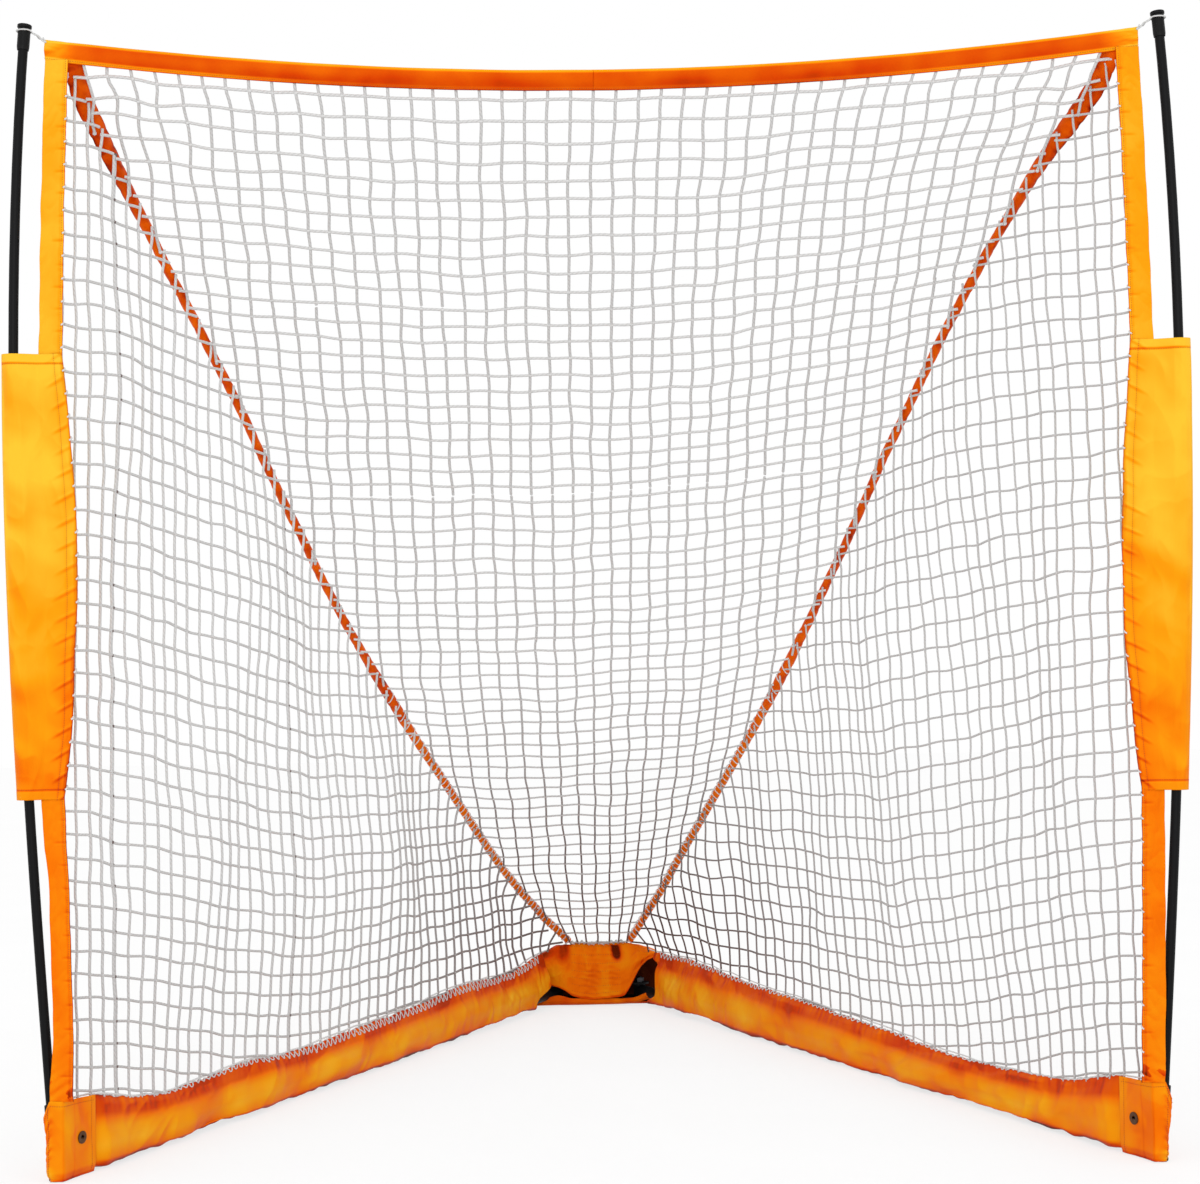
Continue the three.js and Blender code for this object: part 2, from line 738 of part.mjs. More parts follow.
function skirtRow(share) {
  const u = mix(skirtRearStart, skirtFrontEnd, share);
  const foot = skirtClear + clothThickness / 2;
  const height = skirtTopHeight(u) - clothThickness / 2 - foot;
  const lean = (skirtLean * u) / tubeReach;
  const point = ([wide, high], side) => {
    const wave = Math.sin((2 * Math.PI * u) / skirtFoldLength + Math.PI * high);
    const fold = skirtFold * 4 * high * (1 - high) * wave;
    return onTube(u, side * skirtHalfWidth * wide - lean * high + fold, foot + height * high);
  };
  const outer = skirtSectionShares.map((shares) => point(shares, 1));
  const inner = skirtSectionShares.map((shares) => point(shares, -1));
  return [...outer, ...inner.reverse()];
}

function addSkirts() {
  addPair("base_skirt", sheet(rowOf(skirtSteps, skirtRow), clothThickness, true), clothOrange);
}

// Corner pocket: a wall of cloth that runs round the socket, lower on its outer side
function pocketPath() {
  const rear = tubeReach - pocketLength;
  const foot = poleAt(skirtClear);
  const outerEdge = pocketInner - pocketCorner;
  const at = (u, v) => onTube(u, v, skirtClear);
  const front = (x) => vec(x, -pocketFront, skirtClear);
  const outer = [
    at(rear, pocketInner),
    at(tubeReach - pocketInner, pocketInner),
    at(tubeReach, outerEdge),
    vec(foot.x + outerEdge, -pocketFront + pocketCorner, skirtClear),
  ];
  const inner = [
    front(foot.x + pocketCorner),
    front(foot.x - pocketInner + pocketCorner),
    at(tubeReach - 2 * pocketCorner, -pocketInner),
    at(rear, -pocketInner),
  ];
  const lean = poleAt(pocketOuterHeight).sub(foot);
  const straightUp = vec(0, 0, pocketHeight - clothThickness - skirtClear);
  return [
    ...outer.map((p) => [p, p.clone().add(lean)]),
    ...inner.map((p) => [p, p.clone().add(straightUp)]),
  ];
}

function addPockets() {
  const grid = pocketPath();
  const barrel = eyeletBore + eyeletBarrelWall;
  const centre = onTube(tubeReach - eyeletSetback, -pocketInner, eyeletHeight);
  const facing = new THREE.Matrix4().makeBasis(tubeDirection, up.clone().negate(), tubeOutward);
  const toEyelet = (geometry) => geometry.applyMatrix4(facing.clone().setPosition(centre));
  const hole = prism(circle(barrel + fitGap), 2 * cutOverrun).translate(0, 0, -cutOverrun);
  addPair("corner_pocket", cut(sheet(grid, clothThickness), toEyelet(hole)), clothOrange);

  const seat = clothThickness / 2 + fitGap;
  const rim = seat + eyeletFlange;
  const profile = [
    [eyeletBore, -rim],
    [eyeletRadius, -rim],
    [eyeletRadius, -seat],
    [barrel, -seat],
    [barrel, seat],
    [eyeletRadius, seat],
    [eyeletRadius, rim],
    [eyeletBore, rim],
    [eyeletBore, -rim],
  ];
  addPair("eyelet", toEyelet(turned(profile, tubeSides)), eyeletMetal);
}

// Hub cover: a tent of cloth with lifted wings, open where the base tubes leave it
function coverRow(share) {
  const x = mix(-coverHalf, coverHalf, share);
  const wing = clampShare((Math.abs(x) - coverTopHalf) / (coverHalf - coverTopHalf));
  const netFoot = (netThickness / 2) * slopeNormal.z;
  const top = mix(coverTop, coverWingTop, wing) - netFoot - fitGap - clothThickness / 2;
  const foot = mix(coverFoot, coverWingFoot, wing);
  const front = goalDepth - mix(coverFront, coverWingFront, wing);
  const ridge = goalDepth - netHubSetback;
  const rear = goalDepth + coverRear;
  const bulge = coverRear / 4;
  return [
    vec(x, front, foot),
    vec(x, mix(front, ridge, 0.5) - bulge, mix(foot, top, coverFrontShare)),
    vec(x, ridge - bulge, mix(foot, top, coverShoulderShare)),
    vec(x, ridge, top),
    vec(x, ridge + bulge, mix(foot, top, coverShoulderShare)),
    vec(x, mix(ridge, rear, 0.5) + bulge, mix(foot, top, coverRearShare)),
    vec(x, rear, foot),
  ];
}

function addHubCover() {
  add("hub_cover", sheet(rowOf(coverSteps, coverRow), clothThickness), clothOrange);
}

// Nets: a flat panel with a square gap in each cell that its outline leaves room for
function clipped(polygon, keep, crossing) {
  return polygon.flatMap((p, i) => {
    const q = polygon[(i + 1) % polygon.length];
    const corner = keep(p) ? [p] : [];
    return keep(p) === keep(q) ? corner : [...corner, crossing(p, q)];
  });
}

function clippedToCell(polygon, low, high) {
  let rest = polygon;
  for (const key of ["x", "y"]) {
    for (const [edge, sign] of [
      [low[key], 1],
      [high[key], -1],
    ]) {
      const keep = (p) => sign * (p[key] - edge) > 0;
      const crossing = (p, q) => p.clone().lerp(q, (edge - p[key]) / (q[key] - p[key]));
      rest = clipped(rest, keep, crossing);
    }
  }
  return rest.filter((p, i) => p.distanceTo(rest[(i + 1) % rest.length]) > fitGap);
}

function netPanel(outline, inner) {
  const box = new THREE.Box2().setFromPoints(outline);
  const size = box.getSize(new THREE.Vector2());
  const gaps = [];
  const columns = Math.ceil(size.x / netCell);
  const rows = Math.ceil(size.y / netCell);
  const half = new THREE.Vector2((netCell - netStrand) / 2, (netCell - netStrand) / 2);
  const middle = box.getCenter(new THREE.Vector2());
  for (let i = 0; i < columns; i++) {
    for (let j = 0; j < rows; j++) {
      const centre = new THREE.Vector2(i - (columns - 1) / 2, j - (rows - 1) / 2);
      centre.multiplyScalar(netCell).add(middle);
      const gap = clippedToCell(inner, centre.clone().sub(half), centre.clone().add(half));
      if (gap.length < 3) continue;
      const area = Math.abs(THREE.ShapeUtils.area(gap));
      const gapSize = new THREE.Box2().setFromPoints(gap).getSize(new THREE.Vector2());
      const wide = Math.min(gapSize.x, gapSize.y) > netLeastGap;
      if (wide && area > (netLeastGap * netCell) / 4) gaps.push(new THREE.Shape(gap));
    }
  }
  const panel = prism(new THREE.Shape(outline), netThickness).translate(0, 0, -netThickness / 2);
  const tools = gaps.map((gap) => prism(gap, 2 * cutOverrun).translate(0, 0, -cutOverrun));
  return cut(panel, mergeGeometries(tools));
}

const flat = (x, y) => new THREE.Vector2(x, y);

function addBackNet() {
  const slant = (seamHalf(0) - seamHalf(slopeLength)) / slopeLength;
  const strapHalf = (strapWidth / 2) * Math.hypot(1, slant);
  const outlineInset = (inset) => {
    const edgeHalf = (w) => seamHalf(w) - strapHalf - fitGap - inset;
    const drop = fitGap + webbingThickness / 2 + inset;
    const topHalf = edgeHalf(sagAt(edgeHalf(2 * drop)) + 2 * drop);
    const topEdge = rowOf(topBandSteps / 2, (share) => {
      const x = mix(-topHalf, topHalf, share);
      return flat(x, sagAt(x) + drop);
    });
    const foot = slopeLength - inset;
    const footHalf = Math.min(netHubHalf - inset, edgeHalf(foot));
    return [...topEdge, flat(footHalf, foot), flat(-footHalf, foot)];
  };
  const net = netPanel(outlineInset(0), outlineInset(netBorder));
  add("back_net", net.applyMatrix4(slopeFrame), cordWhite);
}

function addSideNets() {
  const lift = (netThickness / 2) * Math.abs(sideOutward.y);
  const outlineInset = (inset) => {
    const rearLift = (webbingThickness / 2 + fitGap + lift + inset) / Math.abs(slopeNormal.z);
    const frontAt = (height) => {
      const sleeved = height > sleeveFoot - fitGap && height < sleeveTop + fitGap;
      const backing = sleeved ? sleeveTabHalf + clothThickness / 2 : webbingThickness / 2;
      return bandAt(height).y + backing + fitGap + lift + inset;
    };
    const underStrap = (y) => slopeHeight(y) - rearLift;
    const overSkirt = (reach) => skirtTopHeight(reach) + fitGap + inset;
    const rear = skirtRearStart / 2 + inset;
    const frontHeights = [
      ...rowOf(bandSteps / 2, (share) => mix(pocketHeight + inset, sleeveFoot - 2 * fitGap, share)),
      ...rowOf(bandSteps / 2, (share) => mix(sleeveFoot, sleeveTop, share)),
      ...rowOf(bandSteps / 2, (share) => mix(sleeveTop + 2 * fitGap, topBandFoot - rearLift, share)),
    ];
    const front = frontHeights.map((height) => flat(sideReach(frontAt(height)), height));
    const top = front.at(-1);
    top.y = underStrap(frontAt(topBandFoot));
    front[0].y = pocketHeight + fitGap + inset;
    const rearY = goalDepth + rear * sideDirection.y;
    const skirtReaches = rowOf(skirtSteps, (share) => mix(skirtRearStart, skirtFrontEnd, share));
    const foot = [rear, ...skirtReaches].map((reach) => flat(reach, overSkirt(reach)));
    return [...foot, ...front, flat(rear, underStrap(rearY))];
  };
  const net = netPanel(outlineInset(0), outlineInset(netBorder));
  addPair("side_net", net.applyMatrix4(sideFrame), cordWhite);
}

addPoles();
addFerrules();
addCaps();
addCornerCords();
addBaseTubes();
addSocketsAndFeet();
addHub();
addSideBands();
addTopBand();
addStraps();
addSleeves();
addSkirts();
addPockets();
addHubCover();
addBackNet();
addSideNets();

// The origin is on the floor, at the middle of the goal's footprint.
const footprint = new THREE.Box3().setFromObject(goal, true);
goal.position.y = -(footprint.min.y + footprint.max.y) / 2;
goal.updateMatrixWorld(true);

export default goal;
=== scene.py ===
"""A portable lacrosse goal dressed for its picture: nets, cloth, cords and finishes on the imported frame."""

import math

import bmesh
import bpy
import numpy as np
from bpy.props import FloatProperty, FloatVectorProperty, IntProperty
from mathutils import Matrix, Vector


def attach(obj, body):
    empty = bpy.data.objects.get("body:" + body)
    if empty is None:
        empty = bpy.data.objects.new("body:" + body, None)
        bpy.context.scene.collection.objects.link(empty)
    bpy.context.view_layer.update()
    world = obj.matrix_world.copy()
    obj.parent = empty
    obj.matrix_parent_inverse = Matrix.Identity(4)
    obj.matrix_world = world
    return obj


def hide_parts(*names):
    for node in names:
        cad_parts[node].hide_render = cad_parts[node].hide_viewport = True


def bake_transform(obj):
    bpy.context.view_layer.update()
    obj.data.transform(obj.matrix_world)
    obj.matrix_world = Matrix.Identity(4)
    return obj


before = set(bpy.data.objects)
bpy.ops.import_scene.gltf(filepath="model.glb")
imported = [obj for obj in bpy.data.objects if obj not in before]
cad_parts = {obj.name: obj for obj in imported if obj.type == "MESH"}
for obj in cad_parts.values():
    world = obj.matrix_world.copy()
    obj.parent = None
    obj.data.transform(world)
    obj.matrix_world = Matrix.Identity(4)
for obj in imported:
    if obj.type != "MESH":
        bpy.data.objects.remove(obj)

bl_info = {
    "name": "Lacrosse goal",
    "version": (1, 0, 0),
    "blender": (4, 5, 0),
    "location": "View3D > Sidebar > Goal",
    "description": "Makes the nets, cloth, cords and finishes of a portable lacrosse goal",
    "category": "Object",
}

SIDES = {"right": 1.0, "left": -1.0}

# The frame's layout in metres. Depth runs from the mouth (0) back to the hub.
GOAL_HEIGHT = 2.0
GOAL_DEPTH = 1.829
HUB_Y = 0.915272
MOUTH_Y = HUB_Y - GOAL_DEPTH
PIVOT_HALF = 0.105
POLE_FOOT_HALF = 0.950
POLE_CURVE = ((0.950, 0.0), (0.991, -0.027), (1.037, -0.027), (0.990, 0.0))
CAP_RADIUS = 0.0108
CORD_DROP = 0.011
CORD_RADIUS = 0.0014
BAND_CURVE = ((0.936, -0.020), (0.952, -0.026), (0.952, -0.026), (0.935, -0.002))
BAND_WIDTH = 0.040
BAND_SETBACK = 0.0008
POCKET_TOP = 0.142
SKIRT_REAR_START = 0.092
SKIRT_HALF = 0.024
SKIRT_LEAN = 0.012
TOP_BAND_FOOT = 1.937
TOP_BAND_HALF = 0.955
TOP_BAND_WIDTH = 0.036
TOP_BAND_SAG = 0.072
TOP_BAND_TILT = math.radians(25)
STRAP_WIDTH = 0.038
SLEEVE_FOOT = 0.646
SLEEVE_TOP = 1.421
SLEEVE_REACH = 0.020
SLEEVE_INNER_END = 0.927
SLEEVE_INNER_MID = 0.902
SLEEVE_PUFF = 0.014
SLEEVE_TAB = 0.003
SLEEVE_HEM = 0.0165
POCKET_LENGTH = 0.078
POCKET_OUTER_TOP = 0.100
POCKET_FRONT = 0.020
POCKET_INNER = 0.023
POCKET_CORNER = 0.007
EYELET_SETBACK = 0.038
EYELET_HEIGHT = 0.068
EYELET_HOLE = 0.0062
COVER_TOP = 0.152
COVER_TOP_HALF = 0.070
COVER_HALF = 0.128
NET_HUB_SETBACK = 0.012
SEAM_LIFT = 0.0001
SEAM_THREAD = 0.0004
KNOT_SHARE = 1.45

WHITE = (1.0, 1.0, 1.0, 1.0)


# Curves and planes of the frame. Each piece is laid out for the right-hand side and mirrored for the left.
def bezier(points, share):
    """Points on a cubic curve at shares from 0 to 1."""
    p = np.asarray(points, float)
    t = np.asarray(share, float)[..., None]
    return (1 - t) ** 3 * p[0] + 3 * t * (1 - t) ** 2 * p[1] + 3 * t**2 * (1 - t) * p[2] + t**3 * p[3]


def stack(*parts):
    return np.stack(np.broadcast_arrays(*[np.asarray(part, float) for part in parts]), axis=-1)


def mix(a, b, share):
    return a + (b - a) * share


def smooth(share):
    share = np.clip(share, 0.0, 1.0)
    return share * share * (3 - 2 * share)


def unit(vectors):
    return vectors / np.maximum(np.linalg.norm(vectors, axis=-1, keepdims=True), 1e-12)


def bell(distance, width):
    """1 at no distance, and near 0 past two widths."""
    return np.exp(-((distance / width) ** 2))


def smoothed(values, width):
    """Values averaged with their neighbours, with the end values held."""
    kernel = np.hanning(width)
    held = np.pad(values, width // 2, mode="edge")
    return np.convolve(held, kernel / kernel.sum(), mode="valid")


def run_along(line):
    """The distance along a line at each of its points."""
    return np.concatenate([[0], np.cumsum(np.linalg.norm(np.diff(line, axis=0), axis=1))])


def read_between(at, places, line):
    """Points of a line between its own, whose places are given."""
    return np.stack([np.interp(at, places, line[:, k]) for k in range(3)], -1)


def pole_at(height):
    xy = bezier(POLE_CURVE, np.clip(np.asarray(height) / GOAL_HEIGHT, 0, 1))
    return stack(xy[..., 0], xy[..., 1] + MOUTH_Y, height)


def band_at(height):
    xy = bezier(BAND_CURVE, (np.asarray(height) - POCKET_TOP) / (TOP_BAND_FOOT - POCKET_TOP))
    return stack(xy[..., 0], xy[..., 1] + MOUTH_Y, height)


TUBE_REACH = math.hypot(POLE_FOOT_HALF - PIVOT_HALF, GOAL_DEPTH)
TUBE_ALONG = np.array([POLE_FOOT_HALF - PIVOT_HALF, -GOAL_DEPTH, 0.0]) / TUBE_REACH
TUBE_OUT = np.cross([0.0, 0.0, 1.0], TUBE_ALONG)
PIVOT = np.array([PIVOT_HALF, HUB_Y, 0.0])


def on_tube(u, v, z):
    """Points at distances along a base tube from its pivot, off it to its outer side, and up."""
    u, v, z = (np.asarray(value, float)[..., None] for value in (u, v, z))
    return PIVOT + u * TUBE_ALONG + v * TUBE_OUT + z * np.array([0.0, 0.0, 1.0])


SLOPE_START = np.array([0.0, MOUTH_Y, TOP_BAND_FOOT])
SLOPE_END = np.array([0.0, HUB_Y - NET_HUB_SETBACK, COVER_TOP])
SLOPE_LENGTH = float(np.linalg.norm(SLOPE_END - SLOPE_START))
SLOPE_ALONG = (SLOPE_END - SLOPE_START) / SLOPE_LENGTH
SLOPE_OUT = np.cross([1.0, 0.0, 0.0], SLOPE_ALONG)


def on_slope(x, w, out=0.0):
    """Points across the back net's plane, down its slope from the top band, and off it."""
    x, w, out = (np.asarray(value, float)[..., None] for value in (x, w, out))
    return SLOPE_START + x * np.array([1.0, 0.0, 0.0]) + w * SLOPE_ALONG + out * SLOPE_OUT


SIDE_MOUTH = band_at((POCKET_TOP + TOP_BAND_FOOT) / 4)
SIDE_ALONG = unit(np.array([SIDE_MOUTH[0] - PIVOT_HALF, SIDE_MOUTH[1] - HUB_Y, 0.0]))
SIDE_OUT = np.cross([0.0, 0.0, 1.0], SIDE_ALONG)


def on_side(reach, z, out=0.0):
    """Points of a side net's plane at distances from the hub, up, and off it."""
    reach, z, out = (np.asarray(value, float)[..., None] for value in (reach, z, out))
    return PIVOT + reach * SIDE_ALONG + z * np.array([0.0, 0.0, 1.0]) + out * SIDE_OUT


def sleeve_inner(share):
    """How far a sleeve's inner edge stands from the middle of the mouth, at shares of its height."""
    return mix(SLEEVE_INNER_END, SLEEVE_INNER_MID, np.sin(math.pi * share) ** 0.9)


def reach_at(y):
    """How far from the hub a side net's plane reaches a depth."""
    return (HUB_Y - y) / -SIDE_ALONG[1]


def seam_half(w):
    """Half the back net's width, down its slope."""
    return PIVOT_HALF + reach_at(MOUTH_Y + np.asarray(w) * SLOPE_ALONG[1]) * SIDE_ALONG[0]


def slope_height(reach):
    """Height of the slanting seam above a point of the side net."""
    depth = GOAL_DEPTH + np.asarray(reach) * SIDE_ALONG[1]
    return TOP_BAND_FOOT + depth * SLOPE_ALONG[2] / SLOPE_ALONG[1]


# How high each skirt's top edge stands, at distances from the hub
SKIRT_TOPS = {
    "left": (
        (0.09, 0.26, 0.56, 0.73, 1.25, 1.45, 1.60, 1.73, 1.85, 1.94),
        (0.138, 0.110, 0.120, 0.106, 0.092, 0.104, 0.096, 0.093, 0.112, 0.137),
    ),
    "right": (
        (0.09, 0.20, 0.31, 0.57, 0.89, 1.0, 1.23, 1.40, 1.59, 1.77, 1.94),
        (0.134, 0.137, 0.138, 0.120, 0.111, 0.105, 0.096, 0.084, 0.089, 0.097, 0.137),
    ),
}


def skirt_top(u, side):
    """The height of a skirt's top edge at distances from the hub."""
    distances, heights = SKIRT_TOPS[side]
    fine = np.linspace(distances[0], distances[-1], 121)
    return np.interp(u, fine, smoothed(np.interp(fine, distances, heights), 13))


def band_sag(x):
    return TOP_BAND_SAG * np.clip(1 - (np.asarray(x) / TOP_BAND_HALF) ** 2, 0, 1)


# How the two seams hang: shares along the slope, how far they stand off their straight line, and which way.
# The last two rows pull a seam inwards.
SEAM_SHIFT = {
    "left": ((0, 0.10, 0.28, 0.39, 0.52, 0.69, 0.85, 1), (0, 0.10, 0.37, 0.75, 1, 0.80, 0.45, 0), (0.037, 0.0, -0.054)),
    "right": ((0, 0.14, 0.25, 0.39, 0.52, 0.65, 1), (0, 0.75, 1, 0.8, 0.3, 0, 0), (-0.030, 0.0, 0.034)),
}
SEAM_PULL = {
    "left": ((0, 0.04, 0.20, 0.42, 0.60, 0.87, 0.96, 1), (0.010, 0.007, 0.003, 0.007, 0.003, 0.002, 0.014, 0.038)),
    "right": (
        (0, 0.04, 0.11, 0.22, 0.30, 0.44, 0.60, 0.72, 0.81, 0.92, 1),
        (0.010, 0.014, 0.018, 0.012, 0.007, 0.001, 0.005, 0.011, 0.016, 0.022, 0.034),
    ),
}


def seam_shift(side, share):
    """The seam's shift at shares along the slope, for a right-hand layout of that side."""
    shares, sizes, way = SEAM_SHIFT[side]
    fine = np.linspace(0, 1, 81)
    soft = smoothed(np.interp(fine, shares, sizes), 15) * np.minimum(1, 12 * np.minimum(fine, 1 - fine))
    shift = np.interp(share, fine, soft)[..., None] * np.array(way)
    shift[..., 0] -= np.interp(share, *SEAM_PULL[side])
    return shift


# Where the painted light on the cloth comes from, so that the painted tone of a fold follows its turn
LIGHT_WAY = unit(np.array([-0.10, -0.82, 0.56]))


# Noise, the same on each run. A piece calls it with a distance over the size of its folds, both in metres,
# and a factor before the call is the folds' height, or their part in the tone of the cloth.
def gradient_noise(x, y, seed):
    """Smooth noise from about -1 to 1 at two coordinates."""
    table = np.random.default_rng(seed).uniform(0, 2 * math.pi, (128, 128))
    x, y = np.broadcast_arrays(np.asarray(x, float), np.asarray(y, float))
    x0, y0 = np.floor(x).astype(int), np.floor(y).astype(int)
    fx, fy = x - x0, y - y0

    def corner(dx, dy):
        angle = table[(x0 + dx) % 128, (y0 + dy) % 128]
        return np.cos(angle) * (fx - dx) + np.sin(angle) * (fy - dy)

    u, v = smooth(fx), smooth(fy)
    low = mix(corner(0, 0), corner(1, 0), u)
    high = mix(corner(0, 1), corner(1, 1), u)
    return 1.6 * mix(low, high, v)


def creases(x, y, seed, octaves=3):
    """Flat facets that meet in sharp ridges, as crumpled cloth does, from about -1 to 1."""
    total = np.zeros(np.broadcast(x, y).shape)
    size = 1.0
    for octave in range(octaves):
        bend = 0.45 * gradient_noise(x * 0.7 * 2**octave, y * 0.7 * 2**octave, seed + 50 + octave)
        total += size * (0.5 - 1.6 * np.abs(gradient_noise(x * 2**octave + bend, y * 2**octave - bend, seed + octave)))
        size *= 0.5
    return total / 1.4


# Meshes
def mesh_object(name, points, faces, edges=(), attributes=None):
    mesh = bpy.data.meshes.new(name)
    mesh.from_pydata(np.asarray(points, float).tolist(), [tuple(e) for e in edges], [tuple(f) for f in faces])
    for key, values in (attributes or {}).items():
        values = np.asarray(values, np.float32)
        kind = "FLOAT" if values.ndim == 1 else "FLOAT_VECTOR"
        layer = mesh.attributes.new(key, kind, "POINT")
        layer.data.foreach_set("value" if kind == "FLOAT" else "vector", values.ravel())
    mesh.validate()
    mesh.update()
    if len(faces):
        mesh.shade_smooth()
    made = bpy.data.objects.new(name, mesh)
    bpy.context.scene.collection.objects.link(made)
    return made


def mirrored(points, side):
    """Points of the right-hand layout moved to their side of the goal."""
    points = np.array(points, float)
    points[..., 0] *= SIDES[side]
    return points


def grid_normals(grid, wrapped=False):
    """Unit normals of a grid of points."""
    along = np.gradient(grid, axis=0)
    if wrapped:
        across = (np.roll(grid, -1, axis=1) - np.roll(grid, 1, axis=1)) / 2
    else:
        across = np.gradient(grid, axis=1)
    return unit(np.cross(along, across))


def relief_tone(base, grid, sign, strength, wrapped=False):
    """How much more a folded grid faces the light than its unfolded base does."""
    change = grid_normals(grid, wrapped) - grid_normals(base, wrapped)
    return strength * sign * (change @ LIGHT_WAY)


def volume_of(points, quads):
    """Six times the volume inside a closed mesh, below zero where its faces point inwards."""
    a, b, c, d = (points[quads[:, i]] for i in range(4))
    return float((np.cross(a, b) * c).sum() + (np.cross(a, c) * d).sum())


def outward_sign(grid, centre, wrapped=False):
    """1 where the grid's normals point away from a centre, and -1 where they point to it."""
    return float(np.sign(((grid - centre) * grid_normals(grid, wrapped)).sum()))


def shell(name, grid, thickness, material, fold=None, weave=None, wrapped=False, inner=None):
    """Closed cloth of even thickness over a grid of points, with attributes for its material: its painted light and
    shade, and its weave.

    inner is the outward sign of the grid and the painted tone of the cloth's inner face, where that face is its own:
    there it is painted as shadow.
    """
    rows, columns = grid.shape[:2]
    normals = grid_normals(grid, wrapped)
    points = np.concatenate(
        [(grid + normals * thickness / 2).reshape(-1, 3), (grid - normals * thickness / 2).reshape(-1, 3)]
    )
    index = np.arange(rows * columns).reshape(rows, columns)
    if wrapped:
        index = np.concatenate([index, index[:, :1]], axis=1)
    a, b, c, d = index[:-1, :-1], index[1:, :-1], index[1:, 1:], index[:-1, 1:]
    top = np.stack([a, b, c, d], -1).reshape(-1, 4)
    half = rows * columns
    quads = [top, top[:, ::-1] + half]
    rims = [index[0, ::-1], index[-1]]
    if not wrapped:
        rims += [index[:, 0], index[::-1, -1]]
    for rim in rims:
        quads.append(np.stack([rim[:-1], rim[1:], rim[1:] + half, rim[:-1] + half], -1)[:, ::-1])
    quads = np.concatenate(quads)
    if volume_of(points, quads) < 0:
        quads = quads[:, ::-1]
    if fold is None:
        fold = np.full((rows, columns), 0.5)
    if weave is None:
        steps_u = np.linalg.norm(np.diff(grid, axis=0), axis=2).mean(axis=1)
        steps_v = np.linalg.norm(np.diff(grid, axis=1), axis=2).mean(axis=0)
        u = np.concatenate([[0], np.cumsum(steps_u)])
        v = np.concatenate([[0], np.cumsum(steps_v)])
        weave = stack(u[:, None], v[None, :], 0.0)
    faces = [fold.ravel(), fold.ravel()]
    if inner is not None:
        sign, value = inner
        faces[1 if sign > 0 else 0] = np.broadcast_to(value, fold.shape).ravel()
    attributes = {
        "fold": np.concatenate(faces),
        "weave": np.concatenate([weave.reshape(-1, 3), weave.reshape(-1, 3)]),
    }
    made = mesh_object(name, points, quads, attributes=attributes)
    made.data.materials.append(material)
    return made


def applied(source, group, values):
    """A plain mesh piece from a source mesh and a node group with its named inputs set."""
    modifier = source.modifiers.new("build", "NODES")
    modifier.node_group = group
    for item in group.interface.items_tree:
        if item.item_type == "SOCKET" and item.in_out == "INPUT" and item.name in values:
            modifier[item.identifier] = values[item.name]
    name = source.name
    source.name = name + "_path"
    depsgraph = bpy.context.evaluated_depsgraph_get()
    mesh = bpy.data.meshes.new_from_object(source.evaluated_get(depsgraph))
    made = bpy.data.objects.new(name, mesh)
    mesh.name = name
    bpy.context.scene.collection.objects.link(made)
    old = source.data
    bpy.data.objects.remove(source)
    bpy.data.meshes.remove(old)
    if not len(mesh.polygons):
        raise RuntimeError(f"{name} came out empty")
    mesh.shade_smooth()
    return made


def joined_lines(lines):
    """Points and edges of several open lines."""
    points, edges, start = [], [], 0
    for line in lines:
        count = len(line)
        points.append(line)
        edges.append(np.stack([np.arange(count - 1), np.arange(1, count)], -1) + start)
        start += count
    return np.concatenate(points), np.concatenate(edges)


# Node groups
class Nodes:
    """Adds nodes to a tree. Each input takes a value, a socket to link, or a list of sockets."""

    def __init__(self, tree):
        self.tree = tree

    def node(self, kind, inputs=None, **settings):
        made = self.tree.nodes.new(kind)
        for key, value in settings.items():
            setattr(made, key, value)
        for key, value in (inputs or {}).items():
            self.feed(made.inputs[key], value)
        return made

    def feed(self, socket, value):
        for one in value if isinstance(value, list) else [value]:
            if isinstance(one, bpy.types.NodeSocket):
                self.tree.links.new(one, socket)
            else:
                socket.default_value = one


class Group(Nodes):
    """A geometry node group with named sizes and a material as its inputs."""

    def __init__(self, name, sizes):
        super().__init__(bpy.data.node_groups.new(name, "GeometryNodeTree"))
        self.add_socket("Geometry", "INPUT", "Geometry")
        for label, (default, low, high) in sizes.items():
            socket = self.add_socket(label, "INPUT", "Int" if isinstance(default, int) else "Float")
            socket.default_value, socket.min_value, socket.max_value = default, low, high
        self.add_socket("Material", "INPUT", "Material")
        self.add_socket("Geometry", "OUTPUT", "Geometry")
        self.given = self.node("NodeGroupInput").outputs

    def add_socket(self, label, way, kind):
        return self.tree.interface.new_socket(label, in_out=way, socket_type="NodeSocket" + kind)

    def kept(self, geometry, name, value, kind):
        """The geometry with a value kept at each of its points, for the material to read."""
        inputs = {"Geometry": geometry, "Name": name, "Value": value}
        made = self.node("GeometryNodeStoreNamedAttribute", inputs, data_type=kind, domain="POINT")
        return made.outputs[0]

    def finish(self, geometry):
        real = self.node("GeometryNodeRealizeInstances", {0: geometry}).outputs[0]
        inputs = {"Geometry": real, "Material": self.given["Material"]}
        self.node("NodeGroupOutput", {0: self.node("GeometryNodeSetMaterial", inputs).outputs[0]})
        return self.tree


